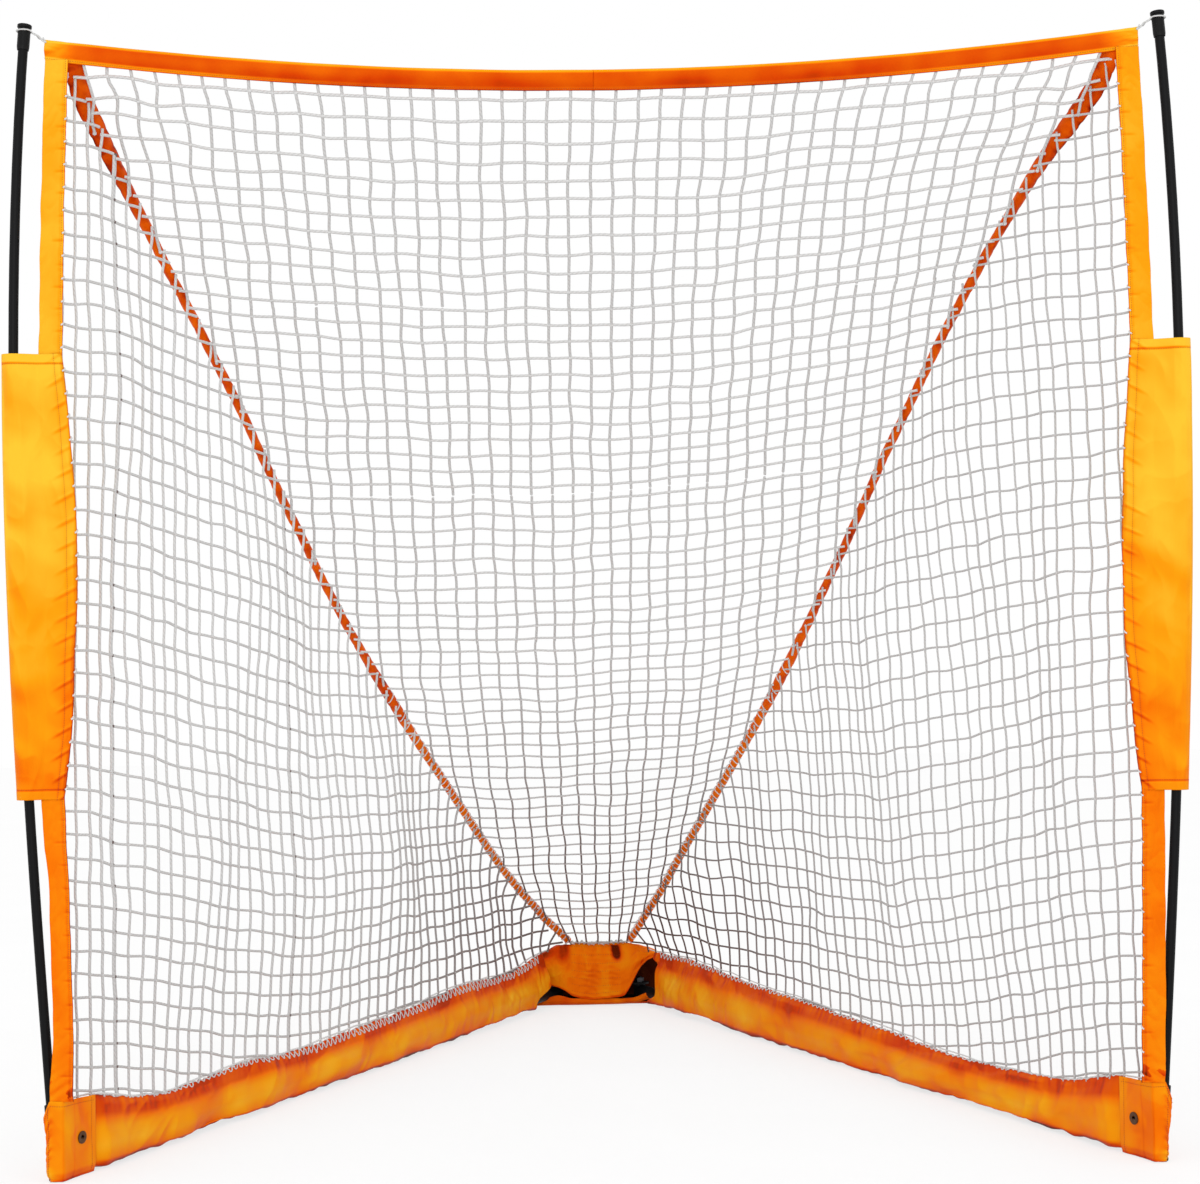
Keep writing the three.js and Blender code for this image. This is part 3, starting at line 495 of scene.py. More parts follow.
def strand_group():
    """Round strands along a mesh's lines, with a small lump at each loose point, where strands cross."""
    sizes = {"Strand Radius": (0.002, 0.0003, 0.02), "Knot Radius": (0.0028, 0.0003, 0.02), "Sides": (6, 3, 16)}
    group = Group("Strands", sizes)
    given, node = group.given, group.node
    curve = node("GeometryNodeMeshToCurve", {0: given["Geometry"]}).outputs[0]
    length = node("GeometryNodeSplineParameter").outputs["Length"]
    profile = node("GeometryNodeCurvePrimitiveCircle", {"Resolution": given["Sides"], "Radius": given["Strand Radius"]})
    way = node("ShaderNodeVectorMath", {0: node("GeometryNodeInputPosition").outputs[0]}, operation="NORMALIZE")
    inputs = {
        "Curve": group.kept(curve, "along", length, "FLOAT"),
        "Profile Curve": group.kept(profile.outputs[0], "around", way.outputs[0], "FLOAT_VECTOR"),
        "Fill Caps": True,
    }
    tube = node("GeometryNodeCurveToMesh", inputs)
    neighbours = node("GeometryNodeInputMeshVertexNeighbors").outputs["Vertex Count"]
    loose = node("FunctionNodeCompare", {2: neighbours}, data_type="INT", operation="EQUAL").outputs[0]
    crossings = node("GeometryNodeMeshToPoints", {"Mesh": given["Geometry"], "Selection": loose}).outputs[0]
    ball = node("GeometryNodeMeshIcoSphere", {"Radius": given["Knot Radius"], "Subdivisions": 1}).outputs[0]
    lumps = node("GeometryNodeInstanceOnPoints", {"Points": crossings, "Instance": ball})
    both = node("GeometryNodeJoinGeometry", {0: [tube.outputs[0], lumps.outputs[0]]})
    return group.finish(both.outputs[0])


def stitch_group():
    """Short raised stitches spaced evenly along a mesh's lines."""
    sizes = {
        "Pitch": (0.004, 0.001, 0.05),
        "Stitch Length": (0.003, 0.0005, 0.05),
        "Thread Radius": (0.0004, 0.0001, 0.005),
    }
    group = Group("Stitches", sizes)
    given, node = group.given, group.node
    curve = node("GeometryNodeMeshToCurve", {0: given["Geometry"]}).outputs[0]
    even = node("GeometryNodeResampleCurve", {"Curve": curve, "Length": given["Pitch"]}, mode="LENGTH")
    tangent = node("GeometryNodeInputTangent").outputs[0]
    turn = node("FunctionNodeAlignRotationToVector", {"Vector": tangent}, axis="X").outputs[0]
    half = node("ShaderNodeMath", {0: given["Stitch Length"], 1: 0.5}, operation="MULTIPLY").outputs[0]
    radius = given["Thread Radius"]
    size = node("ShaderNodeCombineXYZ", {"X": half, "Y": radius, "Z": radius}).outputs[0]
    ball = node("GeometryNodeMeshIcoSphere", {"Radius": 1.0, "Subdivisions": 1}).outputs[0]
    inputs = {"Points": even.outputs[0], "Instance": ball, "Rotation": turn, "Scale": size}
    return group.finish(node("GeometryNodeInstanceOnPoints", inputs).outputs[0])


def once(name, make):
    """The named node group, made at its first use."""
    return bpy.data.node_groups.get(name) or make()


def strands(name, lines, material, radius, knots=None, knot_radius=0.0, sides=6, shades=None, knot_shades=None):
    """A piece of strands along lines of points, with lumps at the knots. Shades paint shade on their points."""
    points, edges = joined_lines(lines)
    shade = np.concatenate(shades) if shades is not None else np.zeros(len(points))
    if knots is not None and len(knots):
        points = np.concatenate([points, knots])
        shade = np.concatenate([shade, np.zeros(len(knots)) if knot_shades is None else knot_shades])
    source = mesh_object(name, points, (), edges=edges.tolist(), attributes={"shade": shade})
    values = {"Strand Radius": radius, "Knot Radius": knot_radius or radius, "Sides": sides, "Material": material}
    return applied(source, once("Strands", strand_group), values)


def stitches(name, lines, material, pitch=0.004, length=0.003, radius=0.0005):
    """A piece of stitches along lines of points."""
    points, edges = joined_lines(lines)
    source = mesh_object(name, points, (), edges=edges.tolist())
    values = {"Pitch": pitch, "Stitch Length": length, "Thread Radius": radius, "Material": material}
    return applied(source, once("Stitches", stitch_group), values)


# Materials
TWIST_LENGTH = 0.009
WEAVE_SCALE = 260.0


class Shader(Nodes):
    """Builds one procedural material, node by node."""

    def __init__(self, name):
        self.material = bpy.data.materials.new(name)
        self.material.use_nodes = True
        super().__init__(self.material.node_tree)
        self.surface = self.tree.nodes["Principled BSDF"]

    def math(self, operation, a, b=0.0, clamp=False):
        return self.node("ShaderNodeMath", {0: a, 1: b}, operation=operation, use_clamp=clamp).outputs[0]

    def attribute(self, name, output="Fac"):
        return self.node("ShaderNodeAttribute", attribute_name=name).outputs[output]

    def object_noise(self, scale, detail=3.0, roughness=0.5, stretch=(1, 1, 1)):
        place = self.node("ShaderNodeTexCoord").outputs["Object"]
        placed = self.node("ShaderNodeMapping", {"Vector": place, "Scale": stretch}).outputs[0]
        return self.node(
            "ShaderNodeTexNoise", {"Vector": placed, "Scale": scale, "Detail": detail, "Roughness": roughness}
        ).outputs["Fac"]

    def ramp(self, value, *stops):
        made = self.node("ShaderNodeValToRGB", {"Fac": value})
        ramp = made.color_ramp
        while len(ramp.elements) < len(stops):
            ramp.elements.new(0.5)
        for element, (at, colour) in zip(ramp.elements, stops):
            element.position, element.color = at, (*colour, 1.0)
        return made.outputs["Color"]

    def blend(self, mode, share, a, b):
        made = self.node("ShaderNodeMix", data_type="RGBA", blend_type=mode)
        self.feed(made.inputs["Factor"], share)
        self.feed(made.inputs["A"], a)
        self.feed(made.inputs["B"], b)
        return made.outputs["Result"]

    def bump(self, height, distance, strength=1.0, normal=None):
        made = self.node("ShaderNodeBump", {"Height": height, "Distance": distance, "Strength": strength})
        if normal is not None:
            self.feed(made.inputs["Normal"], normal)
        return made.outputs["Normal"]

    def finish(self, **inputs):
        for key, value in inputs.items():
            self.feed(self.surface.inputs[key.replace("_", " ")], value)
        return self.material


def cloth_material(name, shadow, deep, mid, warm, bright):
    """Woven nylon: a fine weave, a satin face, and painted light and shade: its colour steps from a painted shadow to a
    painted highlight as the cloth's painted tone says.
    """
    shader = Shader(name)
    fold = shader.attribute("fold")
    cloudy = shader.object_noise(9.0, 4.0)
    tone = shader.math("ADD", fold, shader.math("MULTIPLY", shader.math("SUBTRACT", cloudy, 0.5), 0.16), clamp=True)
    # Painted light: the tone picks a lit or shaded copy of the orange, from painted shadow to a painted gold highlight
    colour = shader.ramp(tone, (0.0, shadow), (0.20, deep), (0.45, mid), (0.72, warm), (1.0, bright))
    weave = shader.attribute("weave", "Vector")
    threads = []
    for turn in (0.0, math.pi / 2):
        placed = shader.node("ShaderNodeMapping", {"Vector": weave, "Rotation": (0.0, 0.0, turn)}).outputs[0]
        threads.append(
            shader.node(
                "ShaderNodeTexWave", {"Vector": placed, "Scale": WEAVE_SCALE, "Distortion": 0.6, "Detail": 1.0}
            ).outputs["Fac"]
        )
    cloth = shader.math("MULTIPLY", threads[0], threads[1])
    pucker = shader.object_noise(160.0, 3.0)
    fine = shader.bump(cloth, 0.00012, 0.5)
    normal = shader.bump(pucker, 0.0006, 0.3, fine)
    shade = shader.blend("MULTIPLY", 0.2, colour, shader.ramp(cloth, (0.0, (0.76, 0.76, 0.76)), (1.0, (1.0, 1.0, 1.0))))
    roughness = shader.math("ADD", 0.40, shader.math("MULTIPLY", shader.object_noise(24.0), 0.16))
    return shader.finish(
        Base_Color=shade,
        Roughness=roughness,
        Normal=normal,
        Specular_IOR_Level=0.12,
        Specular_Tint=(1.0, 0.5, 0.1, 1.0),
        Sheen_Weight=0.03,
        Sheen_Roughness=0.4,
        Sheen_Tint=(1.0, 0.45, 0.08, 1.0),
    )


def net_material(name, colour, shaded):
    """Two-ply twisted cord, a little fuzzy, with painted shade: darker where its shade attribute says so."""
    shader = Shader(name)
    around = shader.node("ShaderNodeSeparateXYZ", {"Vector": shader.attribute("around", "Vector")})
    angle = shader.math("ARCTAN2", around.outputs["Y"], around.outputs["X"])
    along = shader.math("MULTIPLY", shader.attribute("along"), 2 * math.pi / TWIST_LENGTH)
    twist = shader.math("SINE", shader.math("ADD", along, shader.math("MULTIPLY", angle, 2.0)))
    ply = shader.math("ADD", shader.math("MULTIPLY", twist, 0.5), 0.5)
    fuzz = shader.object_noise(900.0, 2.0)
    # Painted shade: the cord's colour is mixed toward its shaded colour as its shade attribute says
    base = shader.blend("MIX", shader.attribute("shade"), (*colour, 1.0), (*shaded, 1.0))
    shade = shader.blend("MULTIPLY", 0.4, base, shader.ramp(ply, (0.0, (0.70, 0.69, 0.68)), (0.6, (1.0, 1.0, 1.0))))
    normal = shader.bump(ply, 0.0006, 0.5, shader.bump(fuzz, 0.0002, 0.4))
    return shader.finish(Base_Color=shade, Roughness=0.85, Normal=normal, Specular_IOR_Level=0.15)


def gelcoat_material(name, colour):
    """Smooth black fibreglass with faint marks along its length."""
    shader = Shader(name)
    streak = shader.object_noise(60.0, 4.0, 0.6, (6.0, 6.0, 0.25))
    spots = shader.object_noise(420.0, 2.0)
    roughness = shader.math("ADD", 0.33, shader.math("MULTIPLY", streak, 0.18))
    base = shader.ramp(streak, (0.3, tuple(0.7 * c for c in colour)), (0.75, tuple(1.5 * c for c in colour)))
    return shader.finish(
        Base_Color=base, Roughness=roughness, Normal=shader.bump(spots, 0.0001, 0.3), Specular_IOR_Level=0.11
    )


def moulded_material(name, colour, roughness, grain=700.0, depth=0.0002):
    """Moulded plastic or rubber, with a fine grain and rubbed patches."""
    shader = Shader(name)
    pits = shader.object_noise(grain, 2.0)
    rubbed = shader.object_noise(45.0, 4.0)
    base = shader.ramp(rubbed, (0.35, colour), (0.8, tuple(1.9 * c + 0.001 for c in colour)))
    rough = shader.math("ADD", roughness - 0.06, shader.math("MULTIPLY", rubbed, 0.14))
    return shader.finish(
        Base_Color=base, Roughness=rough, Normal=shader.bump(pits, depth, 0.5), Specular_IOR_Level=0.12
    )


def coated_material(name, colour, metallic, roughness):
    """Coated or plated steel with an orange-peel surface and worn spots."""
    shader = Shader(name)
    peel = shader.object_noise(260.0, 2.0)
    wear = shader.object_noise(70.0, 5.0, 0.65)
    base = shader.ramp(wear, (0.45, colour), (0.82, tuple(min(1.0, 1.5 * c + 0.006) for c in colour)))
    rough = shader.math("ADD", roughness - 0.05, shader.math("MULTIPLY", wear, 0.18))
    return shader.finish(
        Base_Color=base, Metallic=metallic, Roughness=rough, Normal=shader.bump(peel, 0.0002, 0.4),
        Specular_IOR_Level=0.12,
    )


def thread_material(name, colour):
    shader = Shader(name)
    lint = shader.object_noise(1200.0, 2.0)
    base = shader.ramp(lint, (0.3, tuple(0.75 * c for c in colour)), (0.7, colour))
    return shader.finish(Base_Color=base, Roughness=0.7, Normal=shader.bump(lint, 0.0002, 0.4))


def seen_background(nodes, share):
    """A share for the rays that show the background: the camera's, and those of mirrors and glass."""
    rays = nodes.node("ShaderNodeLightPath").outputs
    total = rays["Is Camera Ray"]
    for ray in ("Is Glossy Ray", "Is Transmission Ray"):
        total = nodes.node("ShaderNodeMath", {0: total, 1: rays[ray]}, operation="MAXIMUM").outputs[0]
    return nodes.node("ShaderNodeMath", {0: total, 1: share}, operation="MULTIPLY").outputs[0]


def plain_material(name, colour):
    """A floor that shows as the white of the background, with the goal's soft shadow."""
    shader = Shader(name)
    speck = shader.object_noise(3.0)
    base = shader.ramp(speck, (0.3, tuple(0.97 * c for c in colour)), (0.7, colour))
    shader.finish(Base_Color=base, Roughness=0.9)
    glow = shader.node("ShaderNodeEmission", {"Color": WHITE, "Strength": 1.1})
    seen = seen_background(shader, 0.65)
    both = shader.node("ShaderNodeMixShader", {0: seen, 1: shader.surface.outputs[0], 2: glow.outputs[0]})
    shader.feed(shader.tree.nodes["Material Output"].inputs["Surface"], both.outputs[0])
    return shader.material


MATERIALS = {}


def material(name, make, *values):
    """The named material, made at its first use."""
    if name not in MATERIALS:
        MATERIALS[name] = make(name, *values)
    return MATERIALS[name]


# Settings
class GoalNetSettings(bpy.types.PropertyGroup):
    """Sizes and colour of the net."""

    cell: FloatProperty(
        name="Cell", description="Side of one square of the net", default=0.040, min=0.01, unit="LENGTH"
    )
    strand: FloatProperty(name="Strand", description="Radius of one strand", default=0.0027, min=0.0005, unit="LENGTH")
    belly: FloatProperty(
        name="Belly", description="How far the back net sags between its seams", default=0.035, unit="LENGTH"
    )
    wander: FloatProperty(
        name="Wander", description="How far the strands stray from a straight grid", default=0.004, unit="LENGTH"
    )
    seed: IntProperty(name="Seed", description="Seed of the net's unevenness", default=11)
    colour: FloatVectorProperty(
        name="Colour", description="Colour of the cord", default=(0.72, 0.72, 0.715), size=3, subtype="COLOR"
    )
    # Painted shade: the colour the cord is drawn toward where shade is painted on it, low in the net and near the hub
    shaded: FloatVectorProperty(
        name="Shaded", description="Colour of soiled cord low in the net", default=(0.11, 0.062, 0.055), size=3,
        subtype="COLOR",
    )


class GoalClothSettings(bpy.types.PropertyGroup):
    """Sizes and colours of the cloth edging."""

    thickness: FloatProperty(
        name="Thickness", description="Thickness of the cloth", default=0.0012, min=0.0003, unit="LENGTH"
    )
    band_thickness: FloatProperty(
        name="Band", description="Thickness of a folded band", default=0.0024, min=0.0005, unit="LENGTH"
    )
    seed: IntProperty(name="Seed", description="Seed of the folds", default=5)
    # Painted light and shade: the cloth's colour steps run from a painted shadow in the deepest folds, through orange,
    # to a painted gold highlight on the ridges
    shadow: FloatVectorProperty(
        name="Shadow", description="Orange inside the deepest folds", default=(0.035, 0.003, 0.001), size=3,
        subtype="COLOR",
    )
    deep: FloatVectorProperty(
        name="Deep", description="Orange in the folds", default=(0.66, 0.045, 0.0006), size=3, subtype="COLOR"
    )
    mid: FloatVectorProperty(
        name="Orange", description="Orange on plain cloth", default=(0.88, 0.165, 0.0012), size=3, subtype="COLOR"
    )
    warm: FloatVectorProperty(
        name="Warm", description="Orange on open cloth", default=(0.90, 0.33, 0.004), size=3, subtype="COLOR"
    )
    bright: FloatVectorProperty(
        name="Bright", description="Gold on the ridges", default=(0.92, 0.52, 0.030), size=3, subtype="COLOR"
    )
    # Painted light and shade: the straps' colour steps, from painted shade in the creases to a painted highlight on the
    # ridges
    strap_deep: FloatVectorProperty(
        name="Strap deep", description="Red-orange in the strap's creases", default=(0.30, 0.010, 0.0006), size=3,
        subtype="COLOR",
    )
    strap_mid: FloatVectorProperty(
        name="Strap", description="Red-orange of the straps", default=(0.66, 0.055, 0.0006), size=3, subtype="COLOR"
    )
    strap_bright: FloatVectorProperty(
        name="Strap bright", description="Orange on the strap's ridges", default=(0.86, 0.12, 0.001), size=3,
        subtype="COLOR",
    )
    thread: FloatVectorProperty(
        name="Thread", description="Sewing thread", default=(0.45, 0.045, 0.003), size=3, subtype="COLOR"
    )


class GoalFrameSettings(bpy.types.PropertyGroup):
    """Finishes of the poles, tubes and fittings."""

    gelcoat: FloatVectorProperty(
        name="Gelcoat", description="Black of the fibreglass poles", default=(0.003, 0.003, 0.0035), size=3,
        subtype="COLOR",
    )
    plastic: FloatVectorProperty(
        name="Plastic", description="Black of the caps", default=(0.004, 0.004, 0.004), size=3, subtype="COLOR"
    )
    steel: FloatVectorProperty(
        name="Steel", description="Black of the coated steel", default=(0.003, 0.003, 0.0035), size=3, subtype="COLOR"
    )
    zinc: FloatVectorProperty(
        name="Zinc", description="Plated steel", default=(0.045, 0.045, 0.05), size=3, subtype="COLOR"
    )
    rubber: FloatVectorProperty(
        name="Rubber", description="Black of the rubber feet", default=(0.004, 0.004, 0.004), size=3, subtype="COLOR"
    )
    eyelet: FloatVectorProperty(
        name="Eyelet", description="Metal of the eyelets", default=(0.09, 0.045, 0.025), size=3, subtype="COLOR"
    )


class GoalStageSettings(bpy.types.PropertyGroup):
    """Camera and lights."""

    lens: FloatProperty(name="Lens", description="Focal length", default=64.9, min=10, unit="CAMERA")
    place: FloatVectorProperty(
        name="Camera", description="Where the camera stands", default=(-0.0475, -4.6651, 0.8867), size=3, subtype="XYZ",
        unit="LENGTH",
    )
    yaw: FloatProperty(
        name="Yaw", description="Turn to the left", default=math.radians(-0.686), subtype="ANGLE", unit="ROTATION"
    )
    pitch: FloatProperty(
        name="Pitch", description="Tilt upwards", default=math.radians(1.676), subtype="ANGLE", unit="ROTATION"
    )
    roll: FloatProperty(
        name="Roll", description="Roll to the right", default=math.radians(0.886), subtype="ANGLE", unit="ROTATION"
    )
    key: FloatProperty(name="Key", description="Power of the light behind the camera", default=110.0, min=0)
    sides: FloatProperty(name="Sides", description="Power of each side light", default=60.0, min=0)
    sky: FloatProperty(name="Sky", description="Strength of the light from all round", default=0.95, min=0)
    floor: FloatVectorProperty(
        name="Floor", description="Colour of the floor", default=(0.80, 0.80, 0.80), size=3, subtype="COLOR"
    )


def orange():
    cloth = bpy.context.scene.goal_cloth
    return material(
        "orange_cloth", cloth_material,
        *(tuple(tone) for tone in (cloth.shadow, cloth.deep, cloth.mid, cloth.warm, cloth.bright)),
    )


# Painted light: the straps run from painted shadow up to the plain orange as their highlight
def red_orange():
    cloth = bpy.context.scene.goal_cloth
    return material(
        "red_orange_cloth", cloth_material,
        *(tuple(tone) for tone in (cloth.shadow, cloth.strap_deep, cloth.strap_mid, cloth.strap_bright, cloth.mid)),
    )


def net_white():
    net = bpy.context.scene.goal_net
    return material("white_net", net_material, tuple(net.colour), tuple(net.shaded))


def thread_orange():
    return material("orange_thread", thread_material, tuple(bpy.context.scene.goal_cloth.thread))


# Operators
class GOAL_OT_frame_finishes(bpy.types.Operator):
    """Give the poles, tubes, hub and fittings their finishes"""

    bl_idname = "goal.frame_finishes"
    bl_label = "Frame finishes"

    def execute(self, context):
        look = context.scene.goal_frame
        gelcoat = material("fibreglass_black", gelcoat_material, tuple(look.gelcoat))
        plastic = material("plastic_black", moulded_material, tuple(look.plastic), 0.42)
        steel = material("steel_black", coated_material, tuple(look.steel), 0.0, 0.5)
        zinc = material("steel_zinc", coated_material, tuple(look.zinc), 1.0, 0.34)
        rubber = material("rubber_black", moulded_material, tuple(look.rubber), 0.82, 320.0, 0.0004)
        metal = material("eyelet_metal", coated_material, tuple(look.eyelet), 1.0, 0.25)
        both = {
            "pole_lower": gelcoat,
            "pole_upper": gelcoat,
            "pole_cap": plastic,
            "pole_ferrule": zinc,
            "pole_socket": steel,
            "arm_rear_tube": steel,
            "arm_front_tube": steel,
            "pivot_bush": steel,
            "snap_button": zinc,
            "button_spring": zinc,
            "hub_bolt": zinc,
            "hub_nut": zinc,
            "foot_plug": rubber,
            "hub_pad": rubber,
            "eyelet": metal,
        }
        finishes = {f"{side}_{name}": finish for side in SIDES for name, finish in both.items()}
        finishes.update(hub_plate_lower=steel, hub_plate_upper=steel, hub_web=steel)
        for name, finish in finishes.items():
            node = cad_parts[name]
            node.data.materials.clear()
            node.data.materials.append(finish)
        return {"FINISHED"}


def carry(piece, body, node=None):
    """Let a body carry a piece, which takes the place of a node of the frame where one is named."""
    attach(piece, body)
    if node:
        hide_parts(node)


def strand_line(points, seed, wander):
    """A strand's points with the small bows of a real strand between crossings."""
    run = run_along(points)
    bow = stack(*(gradient_noise(run / 0.05, seed * 0.37, 901 + axis) for axis in range(3)))
    return points + 0.35 * wander * bow


class BackNetSurface:
    """Where the back net hangs, from its columns and rows."""

    def __init__(self, settings):
        self.settings = settings

    def place(self, x, w):
        """Points for positions across (x) and down the slope (w)."""
        share = np.clip(w / SLOPE_LENGTH, 0, 1)
        half = seam_half(w)
        q = np.clip(x / half, -1, 1)
        lean = (q + 1) / 2
        right = seam_shift("right", share)
        left = seam_shift("left", share) * np.array([-1.0, 1.0, 1.0])
        hang = left * (1 - smooth(lean))[..., None] + right * smooth(lean)[..., None]
        hang = hang * (0.35 + 0.65 * np.abs(q) ** 1.5)[..., None]
        below = w - band_sag(x)
        free = smooth(below / 0.12) * smooth((SLOPE_LENGTH - w) / 0.25)
        sag = np.sin(math.pi * share) ** 0.8 * (1 - q**2) * self.settings.belly
        sag = sag + 0.006 * gradient_noise(x / 0.16, w / 0.22, self.settings.seed + 7) * (1 - q**4)
        hang = hang * smooth(below / 0.04)[..., None]
        points = on_slope(x, w, mix(0.003, -0.0045, smooth((below - 0.002) / 0.03)))
        points[..., 2] -= sag * free
        return points + hang

    def warp(self, x, w):
        """Positions moved as the cord wanders, most near the upper corners."""
        settings = self.settings
        near = 1 + 3.2 * smooth((0.30 - w) / 0.25) * smooth((np.abs(x) - 0.60) / 0.25)
        calm = settings.wander * near * smooth((w - band_sag(x)) / 0.03)
        dx = calm * gradient_noise(x / 0.09, w / 0.09, settings.seed)
        dw = calm * gradient_noise(x / 0.09, w / 0.09, settings.seed + 1)
        return x + dx, w + dw

    def lines(self, w_from, w_to, side):
        """One side's rows and columns between two places down the slope, and their crossings, with shades."""
        settings = self.settings
        cell = settings.cell
        step = cell / 3
        lines, shades, knots, knot_shades = [], [], [], []
        sign = SIDES[side]
        seed = 500 if side == "left" else 0
        row_ws = np.arange(0.018, SLOPE_LENGTH - 0.012, cell * 0.985)

        def row_depth(w0, x):
            return np.minimum(w0 + (1 - 0.45 * w0 / SLOPE_LENGTH) * band_sag(x), SLOPE_LENGTH - 0.004)

        def column_x(index, w):
            return index * cell * 1.012 * (1 - 0.14 * smooth((w / SLOPE_LENGTH - 0.55) / 0.45))

        def over(w):
            return mix(0.005, -0.005, smooth((w / SLOPE_LENGTH - 0.50) / 0.16))

        def add(x, w, index, shade):
            x, w = self.warp(sign * x, w)
            lines.append(strand_line(self.place(x, w), index + seed, settings.wander))
            shades.append(shade)

        # Painted shade: the rows darken a little and the columns much more down the slope towards the hub, where the
        # columns face away from the light, and the knots darken with them
        for i, w0 in enumerate(row_ws, 1):
            if not w_from <= w0 < w_to:
                continue
            x = np.linspace(0, seam_half(w0) + over(w0), 70)
            w = row_depth(w0, x)
            keep = x <= seam_half(w) + over(w)
            if keep.sum() > 2:
                add(x[keep], w[keep], i, 0.10 + 0.18 * smooth((w[keep] / SLOPE_LENGTH - 0.45) / 0.5))
        for j in range(0 if side == "right" else 1, 25):
            top = float(band_sag(j * cell))
            w = np.arange(max(top, w_from), min(w_to, SLOPE_LENGTH - 0.001) + step / 2, step)
            if w_to >= SLOPE_LENGTH:
                w = np.append(w, SLOPE_LENGTH - 0.001)
            x = column_x(j, w)
            keep = x <= seam_half(w) + over(w)
            if keep.sum() > 2 and (x[keep][0] < seam_half(w[keep][-1]) or keep.sum() > 4):
                add(x[keep], w[keep], j + 1000, 0.18 + 0.72 * smooth((w[keep] / SLOPE_LENGTH - 0.55) / 0.38))
            for w0 in row_ws:
                if not w_from <= w0 < w_to:
                    continue
                wk = float(row_depth(w0, column_x(j, w0)))
                xk = column_x(j, wk)
                if xk < seam_half(wk) + over(wk) and top + 0.004 < wk:
                    kx, kw = self.warp(np.array([sign * xk]), np.array([wk]))
                    knots.append(self.place(kx, kw)[0])
                    knot_shades.append(0.05 + 0.35 * float(smooth((wk / SLOPE_LENGTH - 0.6) / 0.35)))
        return lines, shades, np.array(knots), np.array(knot_shades)


# Shares of the slope where the back net is divided into stretches
NET_STRETCHES = (0.0, 0.2, 0.38, 0.54, 0.68, 0.80, 0.90, 1.0)


class GOAL_OT_back_net(bpy.types.Operator):
    """Knit the back net in stretches down the slope, on each side"""

    bl_idname = "goal.back_net"
    bl_label = "Back net"

    def execute(self, context):
        settings = context.scene.goal_net
        surface = BackNetSurface(settings)
        for side in SIDES:
            for i, (low, high) in enumerate(zip(NET_STRETCHES, NET_STRETCHES[1:]), 1):
                w_from, w_to = low * SLOPE_LENGTH, high * SLOPE_LENGTH
                lines, shades, knots, knot_shades = surface.lines(w_from, w_to, side)
                radius = settings.strand * mix(1.05, 0.80, smooth((low - 0.2) / 0.7))
                piece = strands(
                    f"{side}_back_net_{i}", lines, net_white(), radius, knots, radius * KNOT_SHARE, 6, shades,
                    knot_shades,
                )
                middle = (w_from + w_to) / 2
                half = float(seam_half(middle)) * SIDES[side]
                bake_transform(piece)
                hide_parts("back_net")
        return {"FINISHED"}


# Columns of the left side net where two widths of it are joined, at distances from the hub
NET_JOINS = {"left": (1.86, 1.27), "right": ()}


def net_drop(reach):
    """How far a row of a side net falls on its way from the mouth to the hub."""
    share = np.clip((2.02 - np.asarray(reach)) / 0.98, 0, 1)
    return 0.080 * (smooth(share) + np.sin(math.pi / 2 * share))


